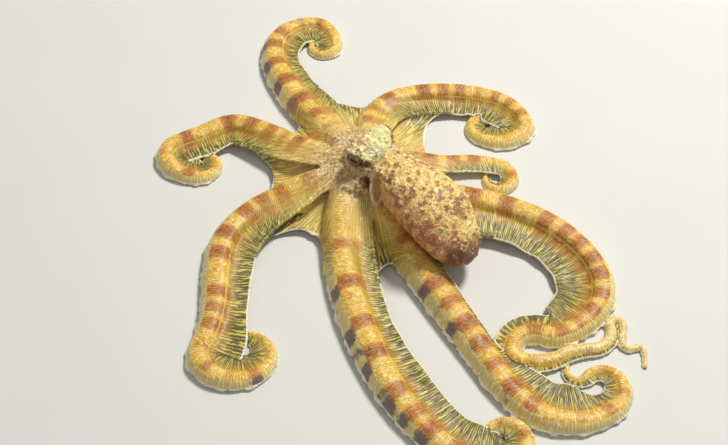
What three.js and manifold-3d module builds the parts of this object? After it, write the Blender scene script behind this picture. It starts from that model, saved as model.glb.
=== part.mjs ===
// An octopus at rest on the sea bed, life-size: one closed solid for each named part of its body.
// Millimetres and degrees. +Z is up, the animal faces -Y and its left is +X. The origin is on the
// floor, under the middle of its bounding box. Bearings are measured from +X towards +Y.

import * as THREE from "three";
import { mergeVertices } from "three/addons/utils/BufferGeometryUtils.js";
import Module from "manifold-3d";

const wasm = await Module();
wasm.setup();

// ---------------------------------------------------------------- sizes

const CROWN_X = -18; // middle of the ring of arms
const CROWN_Y = -32.2;
const GAP = 0.3; // left between neighbouring solids

const CROWN_RADIUS = 21;
const CROWN_TOP = 25;
const CROWN_SHOULDER = 19;
const CROWN_BOTTOM = 9;
const CROWN_FLAT = 0.62; // the flat top and the underside, as shares of the radius
const CROWN_UNDER = 0.8;
const CROWN_SIDES = 18;

const HEAD = { x: -2, y: 5, z: 26, wide: 13.5, long: 14, tall: 11.5 };
const HEAD_TURN = 12; // the head looks a little to its left
const NECK = { x: -1, y: 17, z: 27, wide: 12, long: 9, tall: 11 };
const EYE_SPREAD = 9.2; // from the middle of the head to the middle of each eye bulge
const EYE_BULGE = 7.2;
const EYE_BULGE_LENGTH = 7.9;
const EYE_BULGE_RISE = 5.5;
const EYE_RADIUS = 5;
const EYE_OUT = 3.3; // from the middle of a bulge to the middle of its eye
const EYE_TILT = 32; // how far above level the eyes look
const SKULL_MESH = [12, 8]; // sides and rows of the round parts of the head
const SMALL_MESH = [10, 7];

const MANTLE = {
  x: -1.2, front: 18, length: 72, wide: 19.2, tall: 15.8, // half-width and half-height at its fullest
  fullest: 0.54, collar: 0.62, // place of the fullest section and size of the first one
  frontZ: 29, midZ: 27.8, tipZ: 17, lean: 3,
};
const MANTLE_RINGS = 10;
const MANTLE_SIDES = 16;
const MANTLE_CROWDING = 1.5; // how much closer the rings stand towards the tip
const MANTLE_BLUNTNESS = 2.2; // how round the mantle closes
const MANTLE_TIP = 0.06; // size of the last section

const FUNNEL = { x: 11, y: 17, z: 22, root: 5, mouth: 3.6, wall: 1.2, length: 15, bearing: -38, dip: 14 };
const FUNNEL_SIDES = 10;

const ARM_START = 10; // arms set off this far from the middle of the crown
const ROOT_NARROWING = 0.66; // an arm's width at the crown, as a share of its full width
const ROOT_LENGTH = 34; // distance over which it reaches its full width
const ROOT_LIFT = 13; // height of an arm's sole where it leaves the crown
const TOUCHDOWN = 46; // distance along an arm at which its sole meets the floor
const SOLE_SHARE = 0.72; // half the flat sole, as a share of half the arm's width
const HEIGHT_SHARE = 1.35; // an arm's height, as a share of half its width
const HEIGHT_LEAST = 0.6;
// An arm's back, from its fin over to its bare wall, as shares of half its width and of its height.
const BACK = [[0.52, 0.92], [-0.28, 1], [-0.86, 0.64], [-1, 0.26]];
const STATION_LEAST = 2.6; // least spacing of an arm's sections
const STATION_SHARE = 1.1; // what half the width adds to it
const STATION_TURN = 0.65; // greatest turn from one section to the next, in radians

const FIN_THICKNESS = 1.4;
const FIN_RISE = 5; // extra height of the fin's edge near the crown
const FIN_RISE_START = 30;
const FIN_RISE_END = 110;
const FIN_SEAT = 0.35; // height of the fin's edge, as a share of the arm's height
const FIN_SEAT_MOST = 0.7;
const FIN_ROOT = 0.93; // where the fin leaves the arm, as a share of half its width
const FIN_SHOULDER = 0.58; // height of the arm over its fin, as a share of its height
const FIN_THINNING = 0.25; // a fin is thinner where this share of the arm's height is under 1 mm
const FIN_BEND_SHARE = 0.9; // a fin stays this share short of the middle of a bend
const FIN_CLEARANCE = 1.2; // from a fin to the next turn of the same arm
const FIN_SEARCH_STEP = 2; // spacing and nearest distance of the places looked at for a next turn
const FIN_SEARCH_START = 4;
const FIN_SMOOTHING = 8; // its width is evened out over this distance either way
const FIN_LEAST = 0.3;

const WEB_THICKNESS = 1.6;
const WEB_ROWS = 6;
const WEB_COLUMNS = 7;
const WEB_SEAT = 0.45; // height of a web on an arm's bare wall, as a share of the arm's height
const WEB_SAG = 3;
const WEB_ROOT = 0.5; // where a web starts inside an arm, as a share of half its width
const WEB_LAP = 1; // how far inside a fin's edge it starts, further out from the crown
const WEB_LAP_START = 12;
const WEB_LAP_END = 45;
const WEB_SLOT = 6; // height of the slot that a fin cuts from its web

// Each arm sets off at a seat round the crown, on a heading, and follows its route: arcs of
// [length, turn], where a positive turn goes to the left of the way along the arm. half is half
// its greatest width, and fullness says how late it tapers. The fin is the skin along one side,
// 1 for the left of the way along and -1 for the right, as [distance along the arm, width].
// joins are the distances at which the solid is divided.
const ARMS = {
  l1: {
    seat: -48, heading: -64, half: 9, tip: 1.2, fullness: 2.2, side: 1,
    route: [[21, -23], [16, 9], [34, 12], [17, 54], [26, -6], [19, 100], [23, 59], [34, 200]],
    fin: [[0, 2], [30, 8], [80, 8], [140, 9], [175, 8], [190, 2]],
    joins: [72, 120],
  },
  l2: {
    seat: -10, heading: -20, half: 9, tip: 1.2, fullness: 2.4, side: 1,
    route: [[16, -11], [43, 32], [18, 21], [17, 24], [23, 6], [34, -23], [13, 63], [29, 77], [40, 163]],
    fin: [[0, 2], [30, 9], [85, 12], [140, 8], [185, 10], [215, 10], [233, 3]],
    joins: [62, 118, 170],
  },
  l3: {
    seat: 10, heading: 24, half: 10, tip: 1.2, fullness: 2.2, side: 1,
    route: [[16, 19], [47, 15], [65, 16], [42, 17], [28, 37], [14, 29], [18, 88], [15, 79], [21, 148]],
    fin: [[0, 2], [30, 8], [90, 8], [150, 13], [215, 15], [250, 9], [266, 2]],
    joins: [78, 142, 200],
  },
  l4: {
    seat: 66, heading: 71, half: 9.5, tip: 1.2, fullness: 2.2, side: 1,
    route: [[53, 7], [45, 0], [38, -2], [24, 17], [22, 42], [26, 41], [18, 67], [22, 126], [16, -180]],
    fin: [[0, 2], [40, 2.5], [120, 2], [160, 14], [186, 17], [206, 7], [228, 6], [246, 4], [264, 1]],
    joins: [78, 150, 208],
  },
  r4: {
    seat: 110, heading: 114, half: 10, tip: 1.1, fullness: 1.3, side: -1,
    route: [
      [38, 17], [34, -10], [27, -18], [29, -24], [16, -21], [24, -48], [23, -28], [11, -48],
      [20, 102], [9, 87], [20, 45], [18, -27], [20, 98], [13, -205], [10, 8], [6, 115], [3, 0],
      [5, -108], [10, -12],
    ],
    fin: [[0, 3], [40, 17], [75, 15], [110, 15], [150, 18], [178, 16], [212, 6], [245, 2], [336, 0.6]],
    joins: [78, 140, 204, 250],
  },
  r3: {
    seat: 188, heading: 149, half: 5.5, tip: 1.1, fullness: 2.2, side: -1,
    route: [[53, -6], [21, -19], [19, -108], [18, -128], [10, -75]],
    fin: [[0, 3], [30, 5], [80, 5], [110, 3], [121, 1]],
    joins: [66],
  },
  r2: {
    seat: -138, heading: -135, half: 8, tip: 1.2, fullness: 2.6, side: -1,
    route: [[31, -4], [20, -38], [19, -30], [51, -33], [28, -57], [11, -61], [29, -84], [32, -168]],
    fin: [[0, 3], [30, 10], [105, 10], [170, 10], [205, 9], [221, 2]],
    joins: [62, 116],
  },
  r1: {
    seat: -93, heading: -98, half: 9.5, tip: 1.2, fullness: 2, side: -1,
    route: [[22, -8], [37, 10], [39, -16], [20, -24], [37, -81], [10, -50], [19, -47], [35, -242]],
    fin: [[0, 3], [30, 7], [100, 8], [160, 9], [200, 7], [219, 1]],
    joins: [70, 126],
  },
};

// Each web hangs between two neighbouring arms, from the crown out to a reach along each of them.
// It starts at an arm's fin or at its bare wall. Its free edge leaves each arm along that arm's own
// way, and swings over to the other arm more slowly the larger the handle.
const WEBS = [
  { from: "r1", to: "l1", fromFin: false, toFin: false, reach: [58, 48], handles: [0.35, 0.3] },
  { from: "l1", to: "l2", fromFin: true, toFin: false, reach: [74, 50], handles: [0.55, 0.3] },
  { from: "l2", to: "l3", fromFin: true, toFin: false, reach: [90, 50], handles: [0.62, 0.62] },
  { from: "l3", to: "l4", fromFin: true, toFin: false, reach: [72, 62], handles: [0.55, 0.7] },
  { from: "l4", to: "r4", fromFin: true, toFin: true, reach: [68, 72], handles: [0.3, 0.3] },
  { from: "r4", to: "r3", fromFin: false, toFin: true, reach: [42, 44], handles: [0.4, 0.4] },
  { from: "r3", to: "r2", fromFin: false, toFin: true, reach: [38, 96], handles: [0.2, 0.6] },
  { from: "r2", to: "r1", fromFin: false, toFin: true, reach: [56, 70], handles: [0.4, 0.4] },
];

// ---------------------------------------------------------------- numbers and solids

const radians = THREE.MathUtils.degToRad;
const lerp = THREE.MathUtils.lerp;
const smoothstep = THREE.MathUtils.smoothstep;

// The value at a distance, eased between knots of [distance, value].
function valueAt(knots, at) {
  for (let i = 1; i < knots.length; i += 1) {
    if (at <= knots[i][0]) {
      return lerp(knots[i - 1][1], knots[i][1], smoothstep(at, knots[i - 1][0], knots[i][0]));
    }
  }
  return knots[knots.length - 1][1];
}

function solidFrom(points, faces) {
  return new wasm.Manifold(new wasm.Mesh({
    numProp: 3,
    vertProperties: new Float32Array(points.flat()),
    triVerts: new Uint32Array(faces),
  }));
}

function solidOf(geometry, place) {
  const bare = geometry.clone().applyMatrix4(place);
  bare.deleteAttribute("normal");
  bare.deleteAttribute("uv");
  const merged = mergeVertices(bare, 1e-3);
  return new wasm.Manifold(new wasm.Mesh({
    numProp: 3,
    vertProperties: new Float32Array(merged.attributes.position.array),
    triVerts: new Uint32Array(merged.index.array),
  }));
}

function geometryOf(solid) {
  const mesh = solid.getMesh();
  const geometry = new THREE.BufferGeometry();
  geometry.setAttribute("position", new THREE.Float32BufferAttribute(mesh.vertProperties, 3));
  geometry.setIndex(Array.from(mesh.triVerts));
  geometry.computeVertexNormals();
  return geometry;
}

// A cut can leave crumbs: the largest body is the piece.
function largestOf(solid) {
  return solid.decompose().reduce((best, body) => (body.volume() > best.volume() ? body : best));
}

function meets(one, other) {
  const a = one.boundingBox();
  const b = other.boundingBox();
  return [0, 1, 2].every((axis) => a.min[axis] < b.max[axis] && b.min[axis] < a.max[axis]);
}

function cutBy(solid, cutters) {
  const near = cutters.filter((cutter) => meets(solid, cutter));
  return largestOf(near.reduce((left, cutter) => left.subtract(cutter), solid));
}

// A closed skin through rings of points that wind anticlockwise about the way along.
function loft(rings, outline) {
  const count = outline.length;
  const last = (rings.length - 1) * count;
  const faces = [];
  for (let start = 0; start < last; start += count) {
    for (let k = 0; k < count; k += 1) {
      const a = start + k;
      const b = start + ((k + 1) % count);
      faces.push(a, b, b + count, a, b + count, a + count);
    }
  }
  for (const [a, b, c] of THREE.ShapeUtils.triangulateShape(outline, [])) {
    faces.push(c, b, a, last + a, last + b, last + c);
  }
  return solidFrom(rings.flat(), faces);
}

// The outline moved outwards by a margin, corner by corner.
function widened(outline, margin) {
  return outline.map((corner, i) => {
    const before = outline[(i + outline.length - 1) % outline.length];
    const after = outline[(i + 1) % outline.length];
    const one = corner.clone().sub(before).normalize();
    const two = after.clone().sub(corner).normalize();
    const out = new THREE.Vector2(one.y + two.y, -one.x - two.x).normalize();
    const share = Math.max(out.dot(new THREE.Vector2(one.y, -one.x)), 0.5);
    return corner.clone().addScaledVector(out, margin / share);
  });
}

// ---------------------------------------------------------------- arms

function spotInArc(arc, along) {
  const heading = arc.heading + arc.bend * along;
  if (arc.bend === 0) {
    return { x: arc.x + Math.cos(heading) * along, y: arc.y + Math.sin(heading) * along, heading, bend: 0 };
  }
  return {
    x: arc.x + (Math.sin(heading) - Math.sin(arc.heading)) / arc.bend,
    y: arc.y - (Math.cos(heading) - Math.cos(arc.heading)) / arc.bend,
    heading,
    bend: arc.bend,
  };
}

function layRoute(arm) {
  let x = CROWN_X + ARM_START * Math.cos(radians(arm.seat));
  let y = CROWN_Y + ARM_START * Math.sin(radians(arm.seat));
  let heading = radians(arm.heading);
  let start = 0;
  arm.arcs = arm.route.map(([length, turn]) => {
    const arc = { start, length, x, y, heading, bend: radians(turn) / length };
    ({ x, y, heading } = spotInArc(arc, length));
    start += length;
    return arc;
  });
  arm.length = start;
}

function spotOn(arm, s) {
  const arc = arm.arcs.findLast(({ start }) => s >= start) ?? arm.arcs[0];
  return spotInArc(arc, s - arc.start);
}

function halfWidth(arm, s) {
  const full = arm.tip + (arm.half - arm.tip) * (1 - (s / arm.length) ** arm.fullness);
  return full * lerp(ROOT_NARROWING, 1, smoothstep(s, 0, ROOT_LENGTH));
}

const height = (arm, s) => HEIGHT_LEAST + HEIGHT_SHARE * halfWidth(arm, s);
const soleHeight = (arm, s) => ROOT_LIFT * (1 - smoothstep(s, 0, TOUCHDOWN));

function finHeight(arm, s) {
  const rise = FIN_RISE * (1 - smoothstep(s, FIN_RISE_START, FIN_RISE_END));
  const seat = Math.min(FIN_SEAT * height(arm, s) + rise, FIN_SEAT_MOST * height(arm, s));
  return soleHeight(arm, s) + seat;
}

// How far the fin could reach at a spot before it crossed its own bend or the arm's next turn.
function finRoom(arm, s) {
  const spot = spotOn(arm, s);
  const half = halfWidth(arm, s);
  const bendsInwards = spot.bend * arm.side > 0;
  let room = bendsInwards ? FIN_BEND_SHARE / Math.abs(spot.bend) - half : Infinity;
  for (let t = 0; t <= arm.length; t += FIN_SEARCH_STEP) {
    if (Math.abs(t - s) > FIN_SEARCH_START + 3 * half) {
      const other = spotOn(arm, t);
      const dx = other.x - spot.x;
      const dy = other.y - spot.y;
      const across = arm.side * (dy * Math.cos(spot.heading) - dx * Math.sin(spot.heading));
      const along = dx * Math.cos(spot.heading) + dy * Math.sin(spot.heading);
      const reach = halfWidth(arm, t) + FIN_CLEARANCE;
      if (across > 0 && Math.abs(along) < reach) {
        room = Math.min(room, across - Math.sqrt(reach ** 2 - along ** 2) - half);
      }
    }
  }
  return room;
}

function finWidth(arm, s) {
  const widths = [-1, -0.5, 0, 0.5, 1].map((share) => {
    const at = THREE.MathUtils.clamp(s + share * FIN_SMOOTHING, 0, arm.length);
    return Math.max(Math.min(valueAt(arm.fin, at), finRoom(arm, at)), FIN_LEAST);
  });
  const even = widths.reduce((sum, width) => sum + width) / widths.length;
  return Math.max(Math.min(even, finRoom(arm, s)), FIN_LEAST);
}

// The section across an arm: x to the left of the way along, y up.
function sectionOf(arm, s, finThickness) {
  const half = halfWidth(arm, s);
  const tall = height(arm, s);
  const sole = soleHeight(arm, s);
  const edge = half + finWidth(arm, s);
  const edgeZ = finHeight(arm, s) - sole;
  const thick = finThickness * Math.min(1, FIN_THINNING * tall);
  const corners = [
    [-SOLE_SHARE * half, 0],
    [SOLE_SHARE * half, 0],
    [FIN_ROOT * half, edgeZ - thick / 2],
    [edge, edgeZ - thick / 2],
    [edge, edgeZ + thick / 2],
    [FIN_ROOT * half, Math.max(edgeZ + thick, FIN_SHOULDER * tall)],
    ...BACK.map(([across, up]) => [across * half, up * tall]),
  ];
  const outline = corners.map(([x, y]) => new THREE.Vector2(x * arm.side, y + sole));
  return arm.side > 0 ? outline : outline.reverse();
}

function stationsOf(arm, from, to) {
  const stations = [from];
  while (stations.at(-1) < to) {
    const s = stations.at(-1);
    const bend = Math.abs(spotOn(arm, s).bend);
    const step = Math.min(STATION_LEAST + STATION_SHARE * halfWidth(arm, s), STATION_TURN / bend);
    stations.push(s + step);
  }
  const squeeze = (to - from) / (stations.at(-1) - from);
  return stations.map((s) => from + (s - from) * squeeze);
}

function armLength(arm, from, to, margin, finThickness = FIN_THICKNESS) {
  const rings = stationsOf(arm, from, to).map((s) => {
    const spot = spotOn(arm, s);
    const outline = widened(sectionOf(arm, s, finThickness), margin);
    const left = { x: -Math.sin(spot.heading), y: Math.cos(spot.heading) };
    return outline.map(({ x, y }) => [spot.x + left.x * x, spot.y + left.y * x, y]);
  });
  return loft(rings, sectionOf(arm, from, finThickness));
}

// ---------------------------------------------------------------- webs

function railSpot(arm, s, onFin) {
  const spot = spotOn(arm, s);
  const half = halfWidth(arm, s);
  const lap = smoothstep(s, WEB_LAP_START, WEB_LAP_END);
  const across = onFin ? lerp(WEB_ROOT * half, half + finWidth(arm, s) - WEB_LAP, lap) : -WEB_ROOT * half;
  const z = onFin ? finHeight(arm, s) : soleHeight(arm, s) + WEB_SEAT * height(arm, s);
  return new THREE.Vector3(
    spot.x - Math.sin(spot.heading) * arm.side * across,
    spot.y + Math.cos(spot.heading) * arm.side * across,
    z,
  );
}

// A spot drawn back towards the crown along the arm, and down by the web's sag.
function drawnBack(spot, arm, s, distance) {
  const { heading } = spotOn(arm, s);
  const step = new THREE.Vector3(Math.cos(heading) * distance, Math.sin(heading) * distance, WEB_SAG);
  return spot.clone().sub(step);
}

function webSolid(web, margin) {
  const points = [];
  for (const side of [0.5, -0.5]) {
    for (let row = 0; row < WEB_ROWS; row += 1) {
      const out = row / (WEB_ROWS - 1);
      const [from, to] = [ARMS[web.from], ARMS[web.to]];
      const [near, far] = web.reach.map((reach) => out * (reach + margin));
      const one = railSpot(from, near, web.fromFin);
      const two = railSpot(to, far, web.toFin);
      const [leaving, arriving] = web.handles.map((handle) => handle * one.distanceTo(two));
      const across = new THREE.CubicBezierCurve3(
        one,
        drawnBack(one, from, near, leaving),
        drawnBack(two, to, far, arriving),
        two,
      );
      for (let column = 0; column < WEB_COLUMNS; column += 1) {
        const spot = across.getPoint(column / (WEB_COLUMNS - 1));
        points.push([spot.x, spot.y, spot.z + side * (WEB_THICKNESS + 2 * margin)]);
      }
    }
  }
  return solidFrom(points, slabFaces(WEB_ROWS, WEB_COLUMNS));
}

// Triangles of a slab whose top grid of points comes first and its bottom grid second.
function slabFaces(rows, columns) {
  const faces = [];
  const under = rows * columns;
  const at = (row, column) => row * columns + column;
  const wall = (a, b) => faces.push(a, a + under, b + under, a, b + under, b);
  for (let row = 0; row < rows - 1; row += 1) {
    for (let column = 0; column < columns - 1; column += 1) {
      const a = at(row, column);
      const b = at(row, column + 1);
      const c = at(row + 1, column + 1);
      const d = at(row + 1, column);
      faces.push(a, d, c, a, c, b);
      faces.push(a + under, c + under, d + under, a + under, b + under, c + under);
    }
    wall(at(row, 0), at(row + 1, 0));
    wall(at(row + 1, columns - 1), at(row, columns - 1));
  }
  for (let column = 0; column < columns - 1; column += 1) {
    wall(at(0, column + 1), at(0, column));
    wall(at(rows - 1, column), at(rows - 1, column + 1));
  }
  return faces;
}

// ---------------------------------------------------------------- crown, head, mantle, funnel

function ball({ x, y, z, wide, long, tall }, margin, turn, mesh) {
  const place = new THREE.Matrix4().compose(
    new THREE.Vector3(CROWN_X + x, CROWN_Y + y, z),
    new THREE.Quaternion().setFromAxisAngle(new THREE.Vector3(0, 0, 1), radians(turn)),
    new THREE.Vector3(wide + margin, long + margin, tall + margin),
  );
  const upright = new THREE.Matrix4().makeRotationX(Math.PI / 2);
  return solidOf(new THREE.SphereGeometry(1, ...mesh).applyMatrix4(upright), place);
}

function crownSolid(margin) {
  const radius = CROWN_RADIUS + margin;
  const profile = [
    [0, CROWN_BOTTOM - margin],
    [CROWN_UNDER * radius, CROWN_BOTTOM - margin],
    [radius, (CROWN_BOTTOM + CROWN_SHOULDER) / 2],
    [radius, CROWN_SHOULDER + margin],
    [CROWN_FLAT * radius, CROWN_TOP + margin],
    [0, CROWN_TOP + margin],
  ].map(([r, z]) => new THREE.Vector2(r, z));
  const upright = new THREE.Matrix4().makeRotationX(Math.PI / 2);
  const place = new THREE.Matrix4().makeTranslation(CROWN_X, CROWN_Y, 0);
  return solidOf(new THREE.LatheGeometry(profile, CROWN_SIDES).applyMatrix4(upright), place);
}

function eyeBulgeAt(side) {
  const turn = radians(HEAD_TURN);
  return {
    x: HEAD.x + side * EYE_SPREAD * Math.cos(turn),
    y: HEAD.y + side * EYE_SPREAD * Math.sin(turn),
    z: HEAD.z + EYE_BULGE_RISE,
  };
}

function eyeSolid(side, margin) {
  const bulge = eyeBulgeAt(side);
  const turn = radians(HEAD_TURN);
  const level = side * EYE_OUT * Math.cos(radians(EYE_TILT));
  const eye = {
    x: bulge.x + level * Math.cos(turn),
    y: bulge.y + level * Math.sin(turn),
    z: bulge.z + EYE_OUT * Math.sin(radians(EYE_TILT)),
    wide: EYE_RADIUS,
    long: EYE_RADIUS,
    tall: EYE_RADIUS,
  };
  return ball(eye, margin, 0, SMALL_MESH);
}

function headSolid(margin) {
  const skull = ball(HEAD, margin, HEAD_TURN, SKULL_MESH);
  const neck = ball(NECK, margin, 0, SMALL_MESH);
  const bulges = [1, -1].map((side) => {
    const bulge = { ...eyeBulgeAt(side), wide: EYE_BULGE, long: EYE_BULGE_LENGTH, tall: EYE_BULGE };
    return ball(bulge, margin, HEAD_TURN, SMALL_MESH);
  });
  return [neck, ...bulges].reduce((head, part) => head.add(part), skull);
}

function mantleSolid(margin) {
  const round = Array.from({ length: MANTLE_SIDES }, (_, k) => (2 * Math.PI * k) / MANTLE_SIDES);
  const rings = Array.from({ length: MANTLE_RINGS }, (_, i) => {
    const { fullest, collar } = MANTLE;
    const share = i / (MANTLE_RINGS - 1);
    const t = 1 - (1 - share) ** MANTLE_CROWDING;
    const fore = lerp(collar, 1, Math.sin((Math.PI / 2) * Math.min(t / fullest, 1)));
    const past = Math.max(t - fullest, 0) / (1 - fullest);
    const size = fore * Math.max(Math.sqrt(1 - past ** MANTLE_BLUNTNESS), MANTLE_TIP);
    const endMargin = { 0: -margin, 1: margin }[share] ?? 0;
    const y = CROWN_Y + MANTLE.front + MANTLE.length * t + endMargin;
    const middle = valueAt([[0, MANTLE.frontZ], [fullest, MANTLE.midZ], [1, MANTLE.tipZ]], t);
    const x = CROWN_X + MANTLE.x + MANTLE.lean * t * t;
    return round.map((angle) => [
      x + (MANTLE.wide * size + margin) * Math.sin(angle),
      y,
      middle + (MANTLE.tall * size + margin) * Math.cos(angle),
    ]);
  });
  return loft(rings, round.map((angle) => new THREE.Vector2(Math.cos(angle), Math.sin(angle))));
}

function funnelSolid(margin) {
  const { root, mouth, wall, length } = FUNNEL;
  const profile = [
    [0, -margin],
    [root + margin, -margin],
    [mouth + margin, length + margin],
    [mouth - wall, length + margin],
    [mouth - wall, length / 2],
    [0, length / 2],
  ].map(([r, z]) => new THREE.Vector2(r, z));
  const seat = new THREE.Matrix4().makeTranslation(CROWN_X + FUNNEL.x, CROWN_Y + FUNNEL.y, FUNNEL.z);
  seat.multiply(new THREE.Matrix4().makeRotationZ(radians(FUNNEL.bearing - 90)));
  seat.multiply(new THREE.Matrix4().makeRotationX(radians(-FUNNEL.dip)));
  return solidOf(new THREE.LatheGeometry(profile, FUNNEL_SIDES), seat);
}

// ---------------------------------------------------------------- the animal

const finish = (color, roughness) => new THREE.MeshStandardMaterial({ color, roughness, metalness: 0 });
const MOIST = 0.45; // roughness of wet skin
const GLASSY = 0.1; // roughness of the eyes
const FINISHES = {
  eye: finish(0x2c2a26, GLASSY),
  head: finish(0xd2b48c, MOIST),
  mantle: finish(0xb9825f, MOIST),
  crown: finish(0xb98a5a, MOIST),
  funnel: finish(0xd9c3a0, MOIST),
  arm: finish(0xcf9a45, MOIST),
  web: finish(0x9c9460, MOIST),
};

const octopus = new THREE.Group();
const placed = []; // every solid so far, grown by the gap
const webCutters = []; // the same, with a slot in place of each fin

function place(name, solid, material, cutter, webCutter = cutter) {
  const mesh = new THREE.Mesh(geometryOf(solid), material.clone());
  mesh.name = name;
  octopus.add(mesh);
  placed.push(cutter);
  webCutters.push(webCutter);
}

for (const arm of Object.values(ARMS)) {
  layRoute(arm);
}

for (const [name, side] of [["eye_left", 1], ["eye_right", -1]]) {
  place(name, eyeSolid(side, 0), FINISHES.eye, eyeSolid(side, GAP));
}
place("head", cutBy(headSolid(0), placed), FINISHES.head, headSolid(GAP));
place("mantle", cutBy(mantleSolid(0), placed), FINISHES.mantle, mantleSolid(GAP));
place("arm_crown", cutBy(crownSolid(0), placed), FINISHES.crown, crownSolid(GAP));
place("funnel", cutBy(funnelSolid(0), placed), FINISHES.funnel, funnelSolid(GAP));

for (const [name, arm] of Object.entries(ARMS)) {
  const ends = [0, ...arm.joins, arm.length];
  const before = [...placed];
  for (let i = 0; i < ends.length - 1; i += 1) {
    const from = ends[i] + (i > 0 ? GAP / 2 : 0);
    const to = ends[i + 1] - (i < ends.length - 2 ? GAP / 2 : 0);
    const piece = cutBy(armLength(arm, from, to, 0), before);
    const slotted = armLength(arm, ends[i], ends[i + 1], GAP, WEB_SLOT);
    place(`arm_${name}_${i + 1}`, piece, FINISHES.arm, armLength(arm, from, to, GAP), slotted);
  }
}

for (const web of WEBS) {
  const piece = cutBy(webSolid(web, 0), webCutters);
  place(`web_${web.from}_${web.to}`, piece, FINISHES.web, webSolid(web, GAP));
}

export default octopus;
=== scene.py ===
"""Looks of a life-size octopus at rest: one skin over all its flesh, suckers, eyes, floor and light."""

import math

import bpy
import numpy as np
from bpy.props import FloatProperty, FloatVectorProperty, IntProperty, PointerProperty
from mathutils import Matrix, Vector, noise
from mathutils.bvhtree import BVHTree


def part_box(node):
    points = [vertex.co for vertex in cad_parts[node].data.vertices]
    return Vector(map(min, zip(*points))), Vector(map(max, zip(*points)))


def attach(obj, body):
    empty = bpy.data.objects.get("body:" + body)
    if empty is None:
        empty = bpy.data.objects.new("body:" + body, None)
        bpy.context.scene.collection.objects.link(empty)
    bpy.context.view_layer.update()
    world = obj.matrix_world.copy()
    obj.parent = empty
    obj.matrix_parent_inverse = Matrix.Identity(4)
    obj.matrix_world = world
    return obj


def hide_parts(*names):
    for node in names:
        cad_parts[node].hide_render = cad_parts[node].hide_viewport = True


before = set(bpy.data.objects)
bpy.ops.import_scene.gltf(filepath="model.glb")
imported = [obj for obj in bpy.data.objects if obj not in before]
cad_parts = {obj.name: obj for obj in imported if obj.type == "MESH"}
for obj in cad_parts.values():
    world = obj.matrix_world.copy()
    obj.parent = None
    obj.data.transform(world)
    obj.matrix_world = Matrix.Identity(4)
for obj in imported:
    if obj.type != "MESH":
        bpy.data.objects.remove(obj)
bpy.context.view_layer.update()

bl_info = {
    "name": "Octopus builder",
    "version": (1, 0, 0),
    "blender": (4, 5, 0),
    "location": "View3D > Sidebar > Octopus",
    "description": "Builds the skin, suckers, eyes and stage of a still octopus",
    "category": "Add Mesh",
}

BODY = "root"
MM = 0.001  # the tables below are in millimetres and degrees, as an animal is measured

# ---------------------------------------------------------------- the animal's measures

CROWN = (-18.0, -32.2)  # middle of the ring of arms
CROWN_RADIUS = 21.0
CROWN_HEIGHTS = (9.0, 25.0)
HEAD = {"at": (-2, 5, 26), "size": (13.5, 14, 11.5), "turn": 12}
NECK = {"at": (-1, 17, 27), "size": (12, 9, 11), "turn": 0}
BALL_SEGMENTS = 40
BALL_RINGS = 24
EYE_SPREAD = 9.2
EYE_BULGE = (7.2, 7.9, 7.2)
EYE_BULGE_RISE = 5.5
EYE_TILT = 32
MANTLE = {
    "x": -1.2, "front": 18, "length": 72, "wide": 19.2, "tall": 15.8, "fullest": 0.54, "collar": 0.62,
    "front_z": 29, "mid_z": 27.8, "tip_z": 17, "lean": 3, "bluntness": 2.2,
}
FUNNEL = {
    "at": (11, 17, 22), "root": 5, "mouth": 3.6, "wall": 1.2, "length": 15, "bearing": -38, "dip": 14,
}
FUNNEL_SIDES = 24

ARM_START = 10
ROOT_NARROWING = 0.66
ROOT_LENGTH = 34
ROOT_LIFT = 13
TOUCHDOWN = 46
HEIGHT_SHARE = 1.35
HEIGHT_LEAST = 0.6
FIN_RISE = 5
FIN_RISE_START = 30
FIN_RISE_END = 110
FIN_SEAT = 0.35
FIN_SEAT_MOST = 0.7
FIN_BEND_SHARE = 0.98
FIN_CLEARANCE = -1.5
FIN_SMOOTHING = 8
BEND_SMOOTHING = 14
FIN_MOST = 24
FIN_LEAST = 0.3
FIN_SAMPLES = 9  # places over which a measure is evened out
TURN_APART = (4, 3)  # a later turn of an arm: beyond 4 mm and 3 half widths along it
WEB_ROOT = 0.5
WEB_LAP = 1.8
WEB_LAP_START = 12
WEB_LAP_END = 45
PATCH_LENGTH = 5.2
NO_EDGE = 12.0  # stands for a point far from any free edge
WEB_SEAT = 0.45
WEB_SAG = 3
WEB_ROWS = 44
WEB_COLUMNS = 26
WEB_FOLD = 0.5  # height of the soft folds across a web
WEB_FADE = (-4, 2)  # where, round the end of a web, an arm's own free edge begins

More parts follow.
